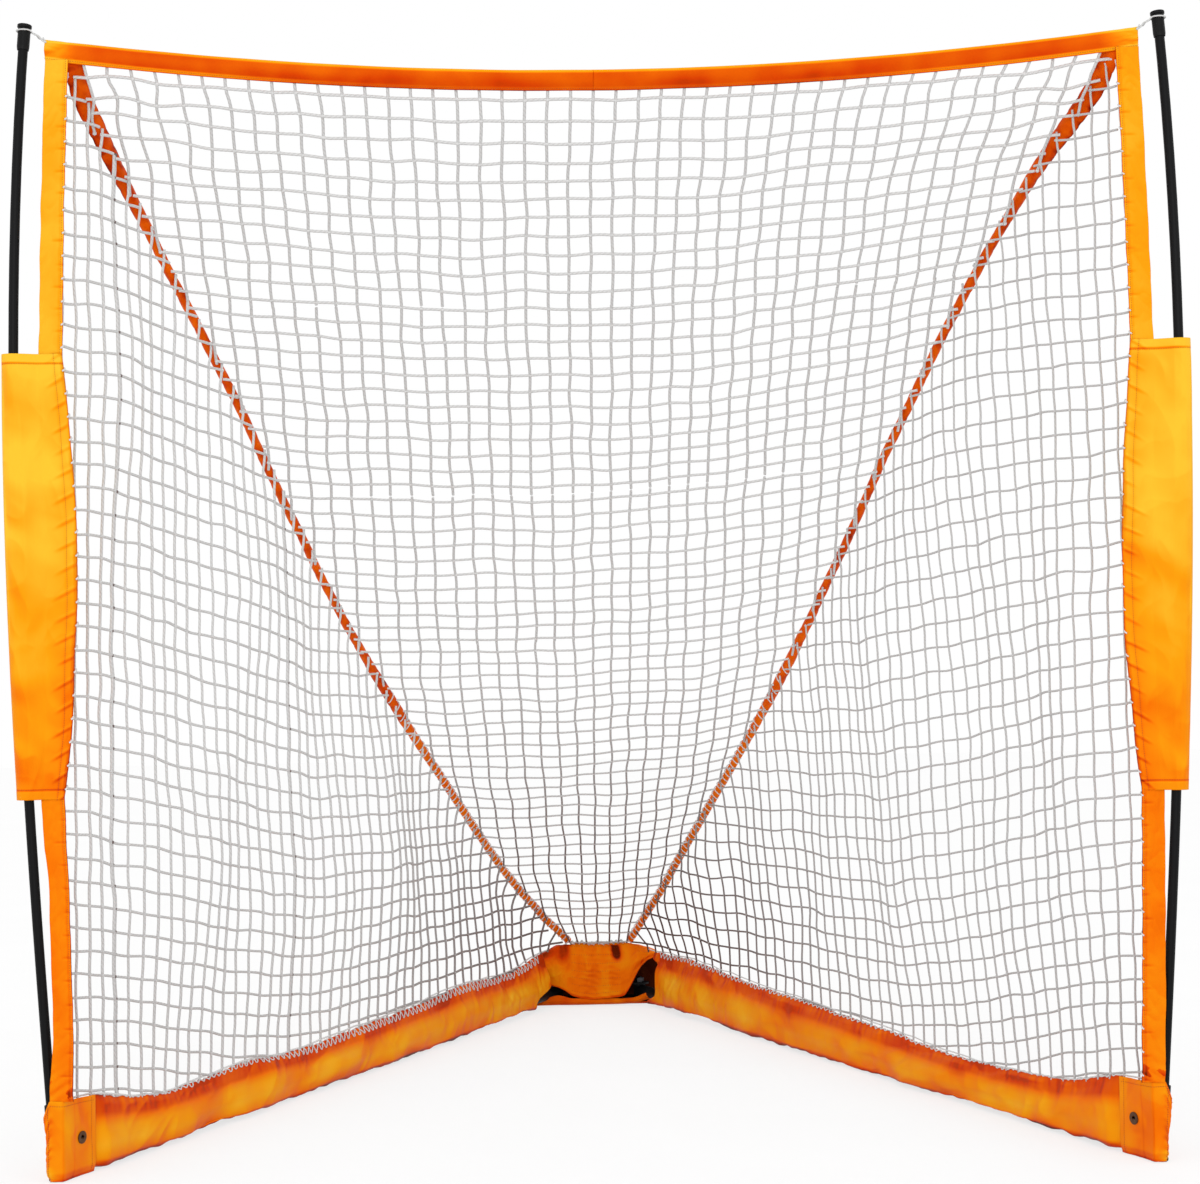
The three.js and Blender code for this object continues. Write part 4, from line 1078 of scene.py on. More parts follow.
class SideNetSurface:
    """Where a side net hangs, from its reach and height."""

    def __init__(self, settings, side):
        self.settings = settings
        self.side = side

    def front_reach(self, z):
        """How far from the hub the net ends at its band."""
        return reach_at(band_at(z)[..., 1] + 0.004)

    def top(self, reach):
        over = mix(-0.005, 0.007, smooth((reach - 0.80) / 0.35))
        return np.minimum(slope_height(reach) + over, TOP_BAND_FOOT - 0.001)

    def bottom(self, reach):
        return skirt_top(reach, self.side) - 0.002

    def place(self, reach, z):
        seed = self.settings.seed + (40 if self.side == "left" else 60)
        low, high = self.bottom(reach), slope_height(reach)
        rise = np.clip((z - low) / np.maximum(high - low, 1e-6), 0, 1)
        share = np.clip(1 - reach / TUBE_REACH, 0, 1)
        hang = seam_shift(self.side, share) * (smooth(rise) ** 1.2)[..., None]
        slack = np.clip(np.minimum(rise, 1 - rise) * 4, 0, 1) * smooth(reach / 0.25) * smooth((2.0 - reach) / 0.2)
        belly = (
            0.022 * gradient_noise(reach / 0.34, z / 0.75, seed + 2)
            + 0.012 * gradient_noise(reach / 0.15, z / 0.5, seed + 3)
        )
        lean = 0.034 if self.side == "left" else 0.055
        lean = lean * smooth((0.50 - z) / 0.42) * smooth((2.0 - reach) / 0.5) * smooth(reach / 0.7)
        drape = 0.006 * gradient_noise(reach / 0.13 + 0.8 * z, z * 0.25, seed + 4) * smooth((1.75 - reach) / 0.7)
        over = 0.0045 * smooth((z - high + 0.04) / 0.03)
        points = on_side(reach + lean, z + drape * slack, belly * slack - over)
        return mirrored(points + hang, self.side)

    def painted_shade(self, reach, z):
        """Painted shade on the cord: most near the hub and low down, and more on the right-hand net."""
        far = smooth((1.25 - reach) / 1.1)
        low = smooth((0.75 - z) / 0.6)
        base = 0.12 if self.side == "left" else 0.26
        return np.clip(base + 0.60 * far * (0.35 + 0.65 * low) + 0.14 * low, 0, 1)

    def lines(self):
        """Rows and columns with their shades, and the crossings between them with theirs."""
        settings = self.settings
        cell = settings.cell
        step = cell / 3
        seed = settings.seed + (140 if self.side == "left" else 160)
        lines, shades, knots, knot_shades = [], [], [], []

        def warp(reach, z):
            dr = settings.wander * gradient_noise(reach / 0.09, z / 0.09, seed)
            dz = settings.wander * gradient_noise(reach / 0.09, z / 0.09, seed + 1)
            return reach + dr, z + dz

        def add(reach, z, index, lift=0.0):
            reach, z = warp(reach, z)
            lines.append(strand_line(self.place(reach + lift, z), index + seed, settings.wander))
            shades.append(self.painted_shade(reach, z))

        foot = float(self.bottom(1.7))
        rows = np.arange(foot + cell * 0.55, TOP_BAND_FOOT + 0.16, cell)
        reach_all = np.arange(0.012, 2.05, step)
        flat = 0.014 if self.side == "left" else 0.0

        def row_height(z0, reach):
            return (
                z0 - net_drop(reach) * (1 - smooth((z0 - 0.45) / 1.35))
                + flat * smooth((2.02 - reach) / 0.18) * smooth((z0 - 0.6) / 0.6)
            )

        for i, z0 in enumerate(rows):
            z = row_height(z0, reach_all)
            keep = (z < self.top(reach_all)) & (z > self.bottom(reach_all)) & (reach_all < self.front_reach(z))
            if keep.sum() > 2:
                add(reach_all[keep], z[keep], i)
        front = float(self.front_reach(np.array([0.5]))[0])
        for j, reach0 in enumerate(front - 0.012 - cell * np.arange(0, 52)):
            if reach0 < 0.02:
                break
            low, high = float(self.bottom(reach0)), float(self.top(reach0))
            z = np.linspace(low, high, max(3, int((high - low) / step)))
            reach = np.full_like(z, reach0)
            keep = reach < self.front_reach(z) - 0.001
            if keep.sum() < 3:
                continue
            add(reach[keep], z[keep], j + 300)
            joined = any(abs(reach0 - join) < cell / 2 for join in NET_JOINS[self.side])
            if joined:
                add(reach[keep], z[keep], j + 300, 0.0034)
            for z0 in rows:
                zk = float(row_height(z0, reach0))
                if low < zk < high and reach0 < float(self.front_reach(zk)):
                    kr, kz = warp(np.array([reach0]), np.array([zk]))
                    knots.append(self.place(kr, kz)[0])
                    knot_shades.append(0.9 if joined else 0.6 * float(self.painted_shade(reach0, zk)))
        return lines, shades, np.array(knots), np.array(knot_shades)

    def selvedge(self):
        """The edge cords along the band and the skirt."""
        z = np.linspace(POCKET_TOP + 0.002, TOP_BAND_FOOT - 0.02, 160)
        front = self.place(self.front_reach(z) - 0.006, z)
        reach = np.linspace(0.060, float(self.front_reach(np.array([0.2]))[0]) - 0.004, 170)
        foot = self.place(reach, self.bottom(reach) + 0.006)
        return [front, foot]

    def band_loops(self):
        """The loops that hold each row of the net to the side band's inner edge."""
        cell = self.settings.cell
        lines = []
        for z0 in np.arange(float(self.bottom(1.7)) + cell * 1.55, TOP_BAND_FOOT - 0.03, cell):
            if self.side == "left" and z0 < SLEEVE_FOOT:
                continue
            if SLEEVE_FOOT < z0 < SLEEVE_TOP:
                inner = sleeve_inner((z0 - SLEEVE_FOOT) / (SLEEVE_TOP - SLEEVE_FOOT)) - 0.001
            else:
                inner = float(band_at(z0)[0]) - BAND_WIDTH / 2
            y = float(band_at(z0)[1])
            angle = np.linspace(-0.5 * math.pi, 0.5 * math.pi, 9)
            lines.append(
                mirrored(
                    stack(
                        inner - 0.0028 * np.cos(angle) + 0.0016, y - 0.0010 + 0.0052 * np.sin(angle),
                        z0 + 0.003 * np.sin(angle),
                    ),
                    self.side,
                )
            )
        return lines


class GOAL_OT_side_nets(bpy.types.Operator):
    """Knit the two side nets and their edge cords"""

    bl_idname = "goal.side_nets"
    bl_label = "Side nets"

    def execute(self, context):
        settings = context.scene.goal_net
        for side in SIDES:
            surface = SideNetSurface(settings, side)
            lines, shades, knots, knot_shades = surface.lines()
            radius = settings.strand * (0.98 if side == "left" else 0.80)
            piece = strands(
                f"{side}_side_netting", lines, net_white(), radius, knots, radius * KNOT_SHARE, 6, shades, knot_shades
            )
            carry(piece, f"{side}_arm", f"{side}_side_net")
            cords = [strand_line(line, 3 + i, 0.006) for i, line in enumerate(surface.selvedge())]
            edge = strands(f"{side}_side_net_edge", cords + surface.band_loops(), net_white(), radius * 0.66)
            carry(edge, f"{side}_arm")
        return {"FINISHED"}


def seam_line(side, share):
    """The seam's centre line of the right-hand layout, at shares of the slope."""
    w = share * SLOPE_LENGTH
    return on_slope(seam_half(w), w) + seam_shift(side, share)


class GOAL_OT_straps(bpy.types.Operator):
    """Lay the creased straps along the seams, and lace the net over their lower ends"""

    bl_idname = "goal.straps"
    bl_label = "Straps"

    def execute(self, context):
        cloth, net = context.scene.goal_cloth, context.scene.goal_net
        for side in SIDES:
            self.strap(side, cloth, net)
        return {"FINISHED"}

    def strap(self, side, cloth, net):
        seed = cloth.seed + (0 if side == "right" else 30)
        share = np.linspace(-0.014, 1.0, 540)
        line = seam_line(side, share)
        line[:, 1] = np.maximum(line[:, 1], MOUTH_Y + 0.007)
        line[:, 0] -= 0.015 * smooth((0.035 - share) / 0.04)
        along = unit(np.gradient(line, axis=0))
        run = share * SLOPE_LENGTH
        away = unit(SLOPE_OUT + SIDE_OUT)
        across = unit(np.cross(along, away))
        out = np.cross(across, along)
        turn = (
            math.radians(9) * gradient_noise(run / 0.40, 0.3, seed)
            + math.radians(7) * gradient_noise(run / 0.10, 0.7, seed + 1)
        )
        wide = np.cos(turn)[:, None] * across + np.sin(turn)[:, None] * out
        deep = np.cross(wide, along)
        deep *= np.sign((deep @ away).mean())
        roll = mix(0.25, 2.15, smooth((share - 0.01) / 0.16)) - 0.65 * smooth((share - 0.52) / 0.12)
        places = np.linspace(-1, 1, 25)[None, :]
        down = run[:, None]
        bend = places * roll[:, None]
        pinch = bell((run / 0.034 + 0.25 * gradient_noise(run / 0.12, 0.2, seed + 6)) % 1.0 - 0.5, 0.13)
        half = (
            STRAP_WIDTH / 2 * (1 - 0.08 * pinch - 0.04 * (1 + gradient_noise(run / 0.05, 0.1, seed + 2)))
            * (1 - 0.30 * smooth((share - 0.58) / 0.15))
        )
        crease = creases(down / 0.042, places * 0.6, seed + 3, 3)
        rumple = gradient_noise(down / 0.018, places * 1.2, seed + 4)
        depth = (1 - np.cos(bend)) / roll[:, None] * half[:, None] + 0.0016 * crease + 0.0009 * rumple + 0.0022
        side_step = np.sin(bend) / roll[:, None] * half[:, None]
        plain = line[:, None] + side_step[..., None] * wide[:, None]
        grid = plain + depth[..., None] * deep[:, None]
        # Painted light and shade: the strap's tone follows its creases and rumples, darkens at its rolled edges and
        # pinches, and is painted lighter down its lower end
        tone = 0.56 + 0.16 * gradient_noise(down / 0.16, places * 0.4, seed + 5)
        tone = (
            tone + 0.26 * crease + 0.14 * rumple - 0.30 * np.abs(places) ** 5 - 0.22 * pinch[:, None] * np.abs(places)
        )
        tone = tone + 0.40 * smooth((share - 0.60) / 0.12)[:, None]
        piece = shell(f"{side}_seam_strap", mirrored(grid, side), cloth.thickness, red_orange(), np.clip(tone, 0.04, 1))
        carry(piece, f"{side}_arm", f"{side}_diagonal_strap")
        self.lace(side, line, wide, deep, run, share, net)

    def lace(self, side, line, wide, deep, run, share, net):
        """The net's cord, wound closely round the strap's lower end."""
        start = int(np.searchsorted(share, 0.60))
        pitch = mix(0.034, 0.0155, smooth((share - 0.60) / 0.14))[start:]
        turns = np.concatenate([[0], np.cumsum(np.diff(run[start:]) / pitch[1:])])
        fine = np.arange(0.2, turns[-1] - 0.05, 1 / 14)
        at = np.interp(fine, turns, np.arange(start, len(run)))
        angle = 2 * math.pi * fine + 0.4 * gradient_noise(fine / 3, 0.2, 77)
        centre, sides, outs = (read_between(at, np.arange(len(run)), values) for values in (line, wide, deep))
        flat = np.sign(np.sin(angle)) * np.abs(np.sin(angle)) ** 0.6
        points = centre + (0.0098 * np.cos(angle))[:, None] * sides + (0.0046 + 0.0066 * flat)[:, None] * outs
        shade = 0.05 * (gradient_noise(fine / 1.3, 0.6, 78) + 1) / 2
        piece = strands(f"{side}_seam_lacing", [mirrored(points, side)], net_white(), net.strand * 0.48, shades=[shade])
        carry(piece, f"{side}_arm")


def band_seam(name, grid, inset, cloth):
    """Stitches along a band's edge, on the face that looks out of the mouth."""
    normals = grid_normals(grid)
    lift = (cloth.band_thickness / 2 + SEAM_LIFT) * (-1 if normals[80, 10, 1] > 0 else 1)
    column = int(round(inset * (grid.shape[1] - 1)))
    line = grid[:, column] + lift * normals[:, column]
    return stitches(name, [line], thread_orange(), radius=SEAM_THREAD)


class GOAL_OT_bands(bpy.types.Operator):
    """Make the band over the mouth and the bands down its sides"""

    bl_idname = "goal.bands"
    bl_label = "Bands"

    def execute(self, context):
        cloth = context.scene.goal_cloth
        for side in SIDES:
            self.side_bands(side, cloth)
            self.top_band(side, cloth)
        return {"FINISHED"}

    def side_bands(self, side, cloth):
        seed = cloth.seed + (100 if side == "right" else 130)
        cell = bpy.context.scene.goal_net.cell
        for part, low, high in (
            ("upper", SLEEVE_TOP - 0.004, TOP_BAND_FOOT + 0.001),
            ("lower", POCKET_TOP - 0.004, SLEEVE_FOOT + 0.012),
        ):
            z = np.linspace(low, high, 300)[:, None]
            centre = band_at(np.clip(z[:, 0], POCKET_TOP, TOP_BAND_FOOT))
            places = np.linspace(-1, 1, 33)[None, :]
            inward = (1 - places) / 2
            pull = bell((z / cell + 0.12 * gradient_noise(z / 0.11, 0.4, seed + 7)) % 1.0 - 0.5, 0.055)
            reach = smooth((inward - 0.45 - 0.25 * gradient_noise(z / 0.05, 0.2, seed + 8)) / 0.4)
            pucker = pull * reach + 0.5 * gradient_noise(z / 0.009, 0.3, seed) * np.exp(-((inward - 0.84) ** 2) / 0.008)
            wave = 0.0024 * gradient_noise(z / 0.075, places * 0.5, seed + 1)
            rumple = 0.0014 * creases(z / 0.06 + 0.25 * places, places * 0.5, seed + 2, 2)
            knee = bell(z - POCKET_TOP, 0.05) if part == "lower" else 0.0
            slant = knee * gradient_noise(z / 0.014 + 0.9 * places, places * 0.4, seed + 9)
            out = 0.0007 * pucker + wave + rumple + 0.0016 * slant
            edge = 0.0010 * gradient_noise(z / 0.05, 0.8, seed + 3)
            waist = (
                smooth((z - POCKET_TOP) / 0.12) * smooth((SLEEVE_FOOT - z) / 0.15) if (side, part) == ("left", "lower")
                else 0.0
            )
            x = centre[:, None, 0] - 0.007 * waist + places * (BAND_WIDTH / 2) * (1 - 0.14 * waist) + edge
            plain = stack(x, centre[:, None, 1] - BAND_SETBACK, z)
            grid = stack(x, centre[:, None, 1] - BAND_SETBACK + out, z)
            # Painted light: the band is lighter upwards, more on the left, with painted shade at its puckers, along the
            # puckered stitch line, at its inner edge and in the creases at its knee, and its folds lit by their turn
            tone = (
                mix(0.50, 0.84 if side == "left" else 0.74, smooth((z - 0.70) / 0.75))
                + 0.10 * gradient_noise(z / 0.17, places * 0.3, seed + 4)
            )
            tone = (
                tone - (0.08 if part == "lower" else 0.16) * pull * reach
                - 0.10 * np.exp(-((inward - 0.84) ** 2) / 0.002) - 0.45 * smooth((inward - 0.965) / 0.03)
            )
            tone = (
                tone + relief_tone(plain, grid, outward_sign(plain, np.array([0.9, 0.5, 1.0])), 0.75)
                - 0.3 * knee * (slant < -0.35)
            )
            piece = shell(
                f"{side}_mouth_band_{part}", mirrored(grid, side), cloth.band_thickness, orange(),
                np.clip(tone, 0.05, 1),
            )
            carry(piece, f"{side}_arm", f"{side}_side_band_{part}")
            seam = band_seam(f"{side}_band_stitches_{part}", mirrored(grid, side), 0.08, cloth)
            carry(seam, f"{side}_arm")

    def top_band(self, side, cloth):
        seed = cloth.seed + (160 if side == "right" else 190)
        x = np.linspace(0.0, TOP_BAND_HALF, 420)
        sag = band_sag(x)
        tilt = TOP_BAND_TILT * sag / TOP_BAND_SAG
        foot = on_slope(x, sag)
        places = np.linspace(0, 1, 27)[None, :]
        across = x[:, None]
        up = stack(0.0, -np.sin(tilt), np.cos(tilt))
        face = stack(0.0, np.cos(tilt), np.sin(tilt))
        near = bell(TOP_BAND_HALF - x, 0.045)[:, None]
        wave = 0.0022 * gradient_noise(across / 0.10, places * 0.8, seed)
        gathers = 0.0030 * near * creases(across / 0.05 + 0.6 * places, places * 1.6, seed + 1, 2)
        roll = 0.0035 * np.sin(math.pi * places)
        out = wave + gathers - roll
        plain = foot[:, None] + (TOP_BAND_WIDTH * places)[..., None] * up[:, None]
        plain[..., 1] -= BAND_SETBACK
        grid = plain + out[..., None] * face[:, None]
        # Painted light: highlights along the upper edge, on the lower strip and near the corners, and the folds lit by
        # their turn; the band is darker along its lower edge
        edge = smooth((places - 0.84) / 0.10)
        strip = smooth((0.24 - places) / 0.10) * (0.20 + 0.75 * smooth((across - 0.35) / 0.45))
        line = smooth((0.05 - places) / 0.03)
        streak = (
            0.07 * gradient_noise(across / 0.14, places * 1.5, seed + 2)
            + 0.04 * gradient_noise(across / 0.03, places, seed + 3)
        )
        tone = 0.27 + 0.45 * edge + 0.42 * strip + 0.48 * near + streak - 0.5 * line
        tone = tone + relief_tone(plain, grid, outward_sign(plain, np.array([0.4, 0.5, 1.5])), 0.6) * (0.25 + near)
        front = mirrored(grid, side)
        piece = shell(f"{side}_top_band", front, cloth.band_thickness, orange(), np.clip(tone, 0.04, 1))
        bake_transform(piece)
        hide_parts("top_band")
        seam = band_seam(f"{side}_top_band_stitches", front, 0.10, cloth)
        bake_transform(seam)


def sleeve_section(places):
    """Shares of the puff at shares of the width, from the outer edge to the inner one."""
    return np.interp(
        places, (0, 0.02, 0.05, 0.12, 0.2, 0.3, 0.42, 0.58, 1), (0, 0.42, 0.66, 0.95, 1, 0.9, 0.55, 0.12, 0)
    )


class GOAL_OT_sleeves(bpy.types.Operator):
    """Sew the cloth sleeves round the poles"""

    bl_idname = "goal.sleeves"
    bl_label = "Sleeves"

    def execute(self, context):
        cloth = context.scene.goal_cloth
        for side in SIDES:
            self.sleeve(side, cloth)
        return {"FINISHED"}

    def sleeve(self, side, cloth):
        seed = cloth.seed + (200 if side == "right" else 240)
        rows, across = 400, 54
        share = np.linspace(0, 1, rows)
        height = mix(SLEEVE_FOOT + (0.008 if side == "left" else -0.006), SLEEVE_TOP, share)
        axis = pole_at(height)
        outer = axis[:, 0] + SLEEVE_REACH
        inner = sleeve_inner(share)
        edge = 0.0022 * gradient_noise(height / 0.12, 0.4, seed)
        places = np.concatenate([np.linspace(0, 1, across), np.linspace(1, 0, across)[1:-1]])[None, :]
        front = np.concatenate([np.full(across, -1.0), np.full(across - 2, 1.0)])[None, :]
        near_edge = np.clip(np.minimum(places, 1 - places) / 0.04, 0, 1)
        puff = sleeve_section(places) * SLEEVE_PUFF + SLEEVE_TAB * 0.8 * near_edge
        z = height[:, None]
        way = -SIDES[side]
        slope = z / 0.115 + way * (0.95 * places - 0.3)
        soft = gradient_noise(
            slope + 0.35 * gradient_noise(z / 0.2, places, seed + 1), 0.30 * z / 0.115 - way * 1.1 * places, seed + 2
        )
        fine = gradient_noise(z / 0.045 + way * 0.9 * places, 1.3 * places, seed + 5)
        ridge = creases(z / 0.17 + way * 0.8 * places, places * 1.1 - way * z / 0.35, seed + 3, 2)
        cell = bpy.context.scene.goal_net.cell
        pull = bell(
            ((z + 0.06 * (1 - places)) / cell + 0.15 * gradient_noise(z / 0.13, 0.4, seed + 7)) % 1.0 - 0.5, 0.08
        )
        reach = smooth((places - 0.66 - 0.12 * gradient_noise(z / 0.06, 0.2, seed + 8)) / 0.2)
        stitched = np.exp(-((places - 0.86) ** 2) / 0.0006)
        calm = smooth(np.minimum(share, 1 - share) / 0.06)[:, None] * 0.8 + 0.2
        side_seed = np.where(front < 0, 1.0, 0.6)
        out = (0.0058 * soft + 0.0030 * ridge + 0.0013 * fine) * calm * near_edge * side_seed + 0.0012 * pull * reach
        centre = mix(axis[:, None, 1], band_at(height)[:, None, 1], np.clip(2 * places, 0, 1))
        x = mix(outer[:, None], (inner + edge)[:, None], places)
        hem_at = np.minimum(height - height[0], height[-1] - height)[:, None]
        hem = smooth((SLEEVE_HEM - hem_at) / 0.002)
        plain = stack(x, centre + front * puff, z)
        grid = stack(x, centre + front * (puff + 0.0008 * hem) - out, z)
        # Painted light: the sleeve is lighter towards its top and darker towards its inner edge, with painted shade at
        # its puckers, along the stitch line and at the hem fold, and its folds lit by their turn
        tone = mix(0.54, 0.95, smooth((z - 0.62) / 0.62)) - 0.10 * smooth((places - 0.55) / 0.4)
        tone = (
            tone + 0.10 * soft + 0.05 * fine - 0.09 * pull * reach * (1.2 + gradient_noise(z / 0.05, 0.6, seed + 9))
            - 0.07 * stitched - 0.42 * smooth((places - 0.975) / 0.02)
        )
        tone = tone - 0.40 * bell(hem_at - SLEEVE_HEM, 0.0016) + 0.06 * (hem_at < 0.015)
        sign = outward_sign(plain, np.array([0.96, MOUTH_Y, 1.0]), True)
        tone = tone + relief_tone(plain, grid, sign, 1.1, True) * near_edge * (front < 0)
        piece = shell(
            f"{side}_sleeve_cloth", mirrored(grid, side), cloth.thickness, orange(), np.clip(tone, 0.05, 1),
            wrapped=True,
        )
        carry(piece, f"{side}_arm", f"{side}_pole_sleeve")
        normals = grid_normals(mirrored(grid, side), True)
        lift = cloth.thickness / 2 + SEAM_LIFT
        sign = -1 if normals[rows // 2, across // 2, 1] > 0 else 1
        shown = mirrored(grid, side) + sign * lift * normals
        lines = [shown[:, int(0.86 * across)]]
        for at in (9, rows - 10):
            lines.append(shown[at, 2 : across - 1])
        seam = stitches(f"{side}_sleeve_stitches", lines, thread_orange(), radius=SEAM_THREAD)
        carry(seam, f"{side}_arm")


def skirt_section(angle):
    """Shares of half width and height round the skirt, from its foot on the outer side over the top."""
    across = (0.55, 0.95, 1.0, 0.82, 0.50, 0.24, 0.10, -0.10, -0.26, -0.62, -0.98, -1.0, -0.95, -0.55)
    up = (0.0, 0.02, 0.14, 0.38, 0.62, 0.84, 1.0, 1.0, 0.86, 0.66, 0.42, 0.16, 0.02, 0.0)
    at = np.linspace(0, 1, len(across))
    return np.interp(angle, at, across), np.interp(angle, at, up)


class GOAL_OT_skirts(bpy.types.Operator):
    """Wrap the gathered skirts round the base tubes"""

    bl_idname = "goal.skirts"
    bl_label = "Skirts"

    def execute(self, context):
        cloth, net = context.scene.goal_cloth, context.scene.goal_net
        for side in SIDES:
            self.skirt(side, cloth, net)
        return {"FINISHED"}

    def skirt(self, side, cloth, net):
        seed = cloth.seed + (300 if side == "right" else 340)
        rows, around = 620, 84
        u = np.linspace(0, 1, rows)[:, None]
        angle = np.linspace(0, 1, around)[None, :]
        wide, high = skirt_section(angle)
        if side == "right":
            cut = 0.034 * smooth((high - 0.08) / 0.15) * smooth((0.90 - high) / 0.10)
        else:
            cut = 0.085 * smooth((0.42 - high) / 0.25)
        ragged = 0.007 * gradient_noise(angle * 7.0, 0.3, seed + 9) * (1 - u) ** 30
        ragged = ragged + cut * smooth((0.3 - wide) / 0.6) * (1 - u) ** 14
        end = TUBE_REACH - POCKET_LENGTH
        u = mix(SKIRT_REAR_START, end + 0.014, u) + ragged
        tuck = smooth((u - end + 0.030) / 0.028)
        foot = 0.0015
        top = skirt_top(u, side)
        lean = SKIRT_LEAN * u / TUBE_REACH
        run = angle * 0.30
        rear = smooth((0.75 - u) / 0.6)
        way = -SIDES[side]
        big = (
            gradient_noise(u / 0.17 + way * 0.8 * high, high * 1.3, seed)
            + 0.5 * gradient_noise(u / 0.085 - way * 0.9 * high, high * 1.7, seed + 1)
        )
        crumple = creases(u / 0.13 + way * 0.5 * high, run / 0.11, seed + 2, 2)
        gathers = gradient_noise(
            u / 0.026 + 1.1 * gradient_noise(u / 0.05, high * 2.5, seed + 10), high * 2.6, seed + 3
        )
        puckers = gradient_noise(u / 0.010, high * 0.6, seed + 4) * smooth((high - 0.62) / 0.3)
        free = smooth(high / 0.14) * smooth((1.03 - high) / 0.16)
        out = (
            (0.0080 * big + 0.0052 * crumple) * free + 0.0018 * gathers * mix(0.25, 1.0, rear) * free + 0.0010 * puckers
        )
        out = np.clip(out + 0.002 * free, -0.0055 * smooth((0.95 - high) / 0.5), 0.0135) * (1 - tuck)
        fray = gradient_noise(u / 0.032, 0.3 + 2 * np.sign(wide), seed + 5)
        lifted = bell(u - 0.33, 0.16) * 0.010 + bell(u - 1.55, 0.12) * 0.006
        hem = (0.0035 * (1 + fray) + lifted) * smooth((0.14 - high) / 0.14)
        across = SKIRT_HALF * wide * (1 - 0.24 * tuck) - lean * high
        low_end = 1 - 0.30 * smooth((u - end) / 0.010)
        z = (
            foot + (top - foot - 0.001) * high * low_end + hem
            + 0.003 * gradient_noise(u / 0.05, 0.9, seed + 6) * smooth((high - 0.8) / 0.2)
        )
        base = on_tube(u, across, z)
        middle = on_tube(u, -lean * 0.5, top / 2)
        facing = outward_sign(base, middle, True)
        grid = base + facing * grid_normals(base, True) * out[..., None]
        grid[..., 2] = np.maximum(grid[..., 2], 0.0012)
        # Painted light and shade: dark at the foot and in the upper band under the net's edge, lighter across the
        # middle, shade in the creases and at the rear end, and the folds lit by their turn
        tone = np.interp(
            high, (0, 0.05, 0.15, 0.32, 0.58, 0.68, 0.76, 1.0), (0.03, 0.14, 0.50, 0.66, 0.62, 0.46, 0.26, 0.20)
        )
        tone = (
            tone + 0.15 * gradient_noise(u / 0.11 + way * high, high * 1.2, seed + 7) + 0.05 * gathers * rear
            + 0.05 * puckers
        )
        tone = tone + 0.13 * rear * creases(u / 0.030 + way * 0.8 * high, high * 2.6, seed + 12, 2) * smooth(high / 0.2)
        tone = tone + relief_tone(base, grid, facing, 0.62, True) * smooth(high / 0.15)
        tone = tone - 0.35 * bell(u - SKIRT_REAR_START, 0.012) * (gathers < 0)
        tone = np.maximum(tone, 0.15 * smooth((high - 0.12) / 0.1))
        # The skirt's inside is painted as shadow
        piece = shell(
            f"{side}_skirt_cloth", mirrored(grid, side), cloth.thickness, orange(), np.clip(tone, 0.03, 1),
            wrapped=True, inner=(facing * SIDES[side], -0.12),
        )
        carry(piece, f"{side}_arm", f"{side}_base_skirt")
        ridge = around // 2
        over = grid + (facing * (cloth.thickness / 2 + 0.0012)) * grid_normals(grid, True)
        threads = [mirrored(line, side) for line in self.lapped(over, u[:, ridge], ridge, side, seed + 8)]
        loops = strands(
            f"{side}_skirt_lacing", threads, net_white(), net.strand * 0.46, sides=5,
            shades=[np.full(len(line), 0.02) for line in threads],
        )
        carry(loops, f"{side}_arm")

    def lapped(self, grid, u, middle, side, seed):
        """Where the net's edge laps over the skirt's top: open loops of its cord that cross each other."""
        laps = (9.0, 10.0, 10.0, 6.5, 3.4) if side == "left" else (7.0, 5.5, 4.6, 4.2, 3.4)
        lines = []
        for i, at in enumerate(np.arange(SKIRT_REAR_START + 0.03, u[-1] - 0.03, 0.0185)):
            row = int(np.searchsorted(u, at))
            deep = int(
                round(
                    float(np.interp(at, (0.1, 0.5, 1.2, 1.4, 1.9), laps))
                    + 0.8 * float(gradient_noise(i / 1.7, 0.3, seed))
                )
            )
            down = np.arange(middle - 1, middle + max(deep, 2))
            wide = 9 + int(round(2.0 * float(gradient_noise(i / 2.1, 0.6, seed + 1))))
            rows = np.linspace(row, min(row + wide, len(u) - 1), 2 * len(down)).round().astype(int)
            lines.append(grid[rows, np.concatenate([down, down[::-1]])])
        return lines


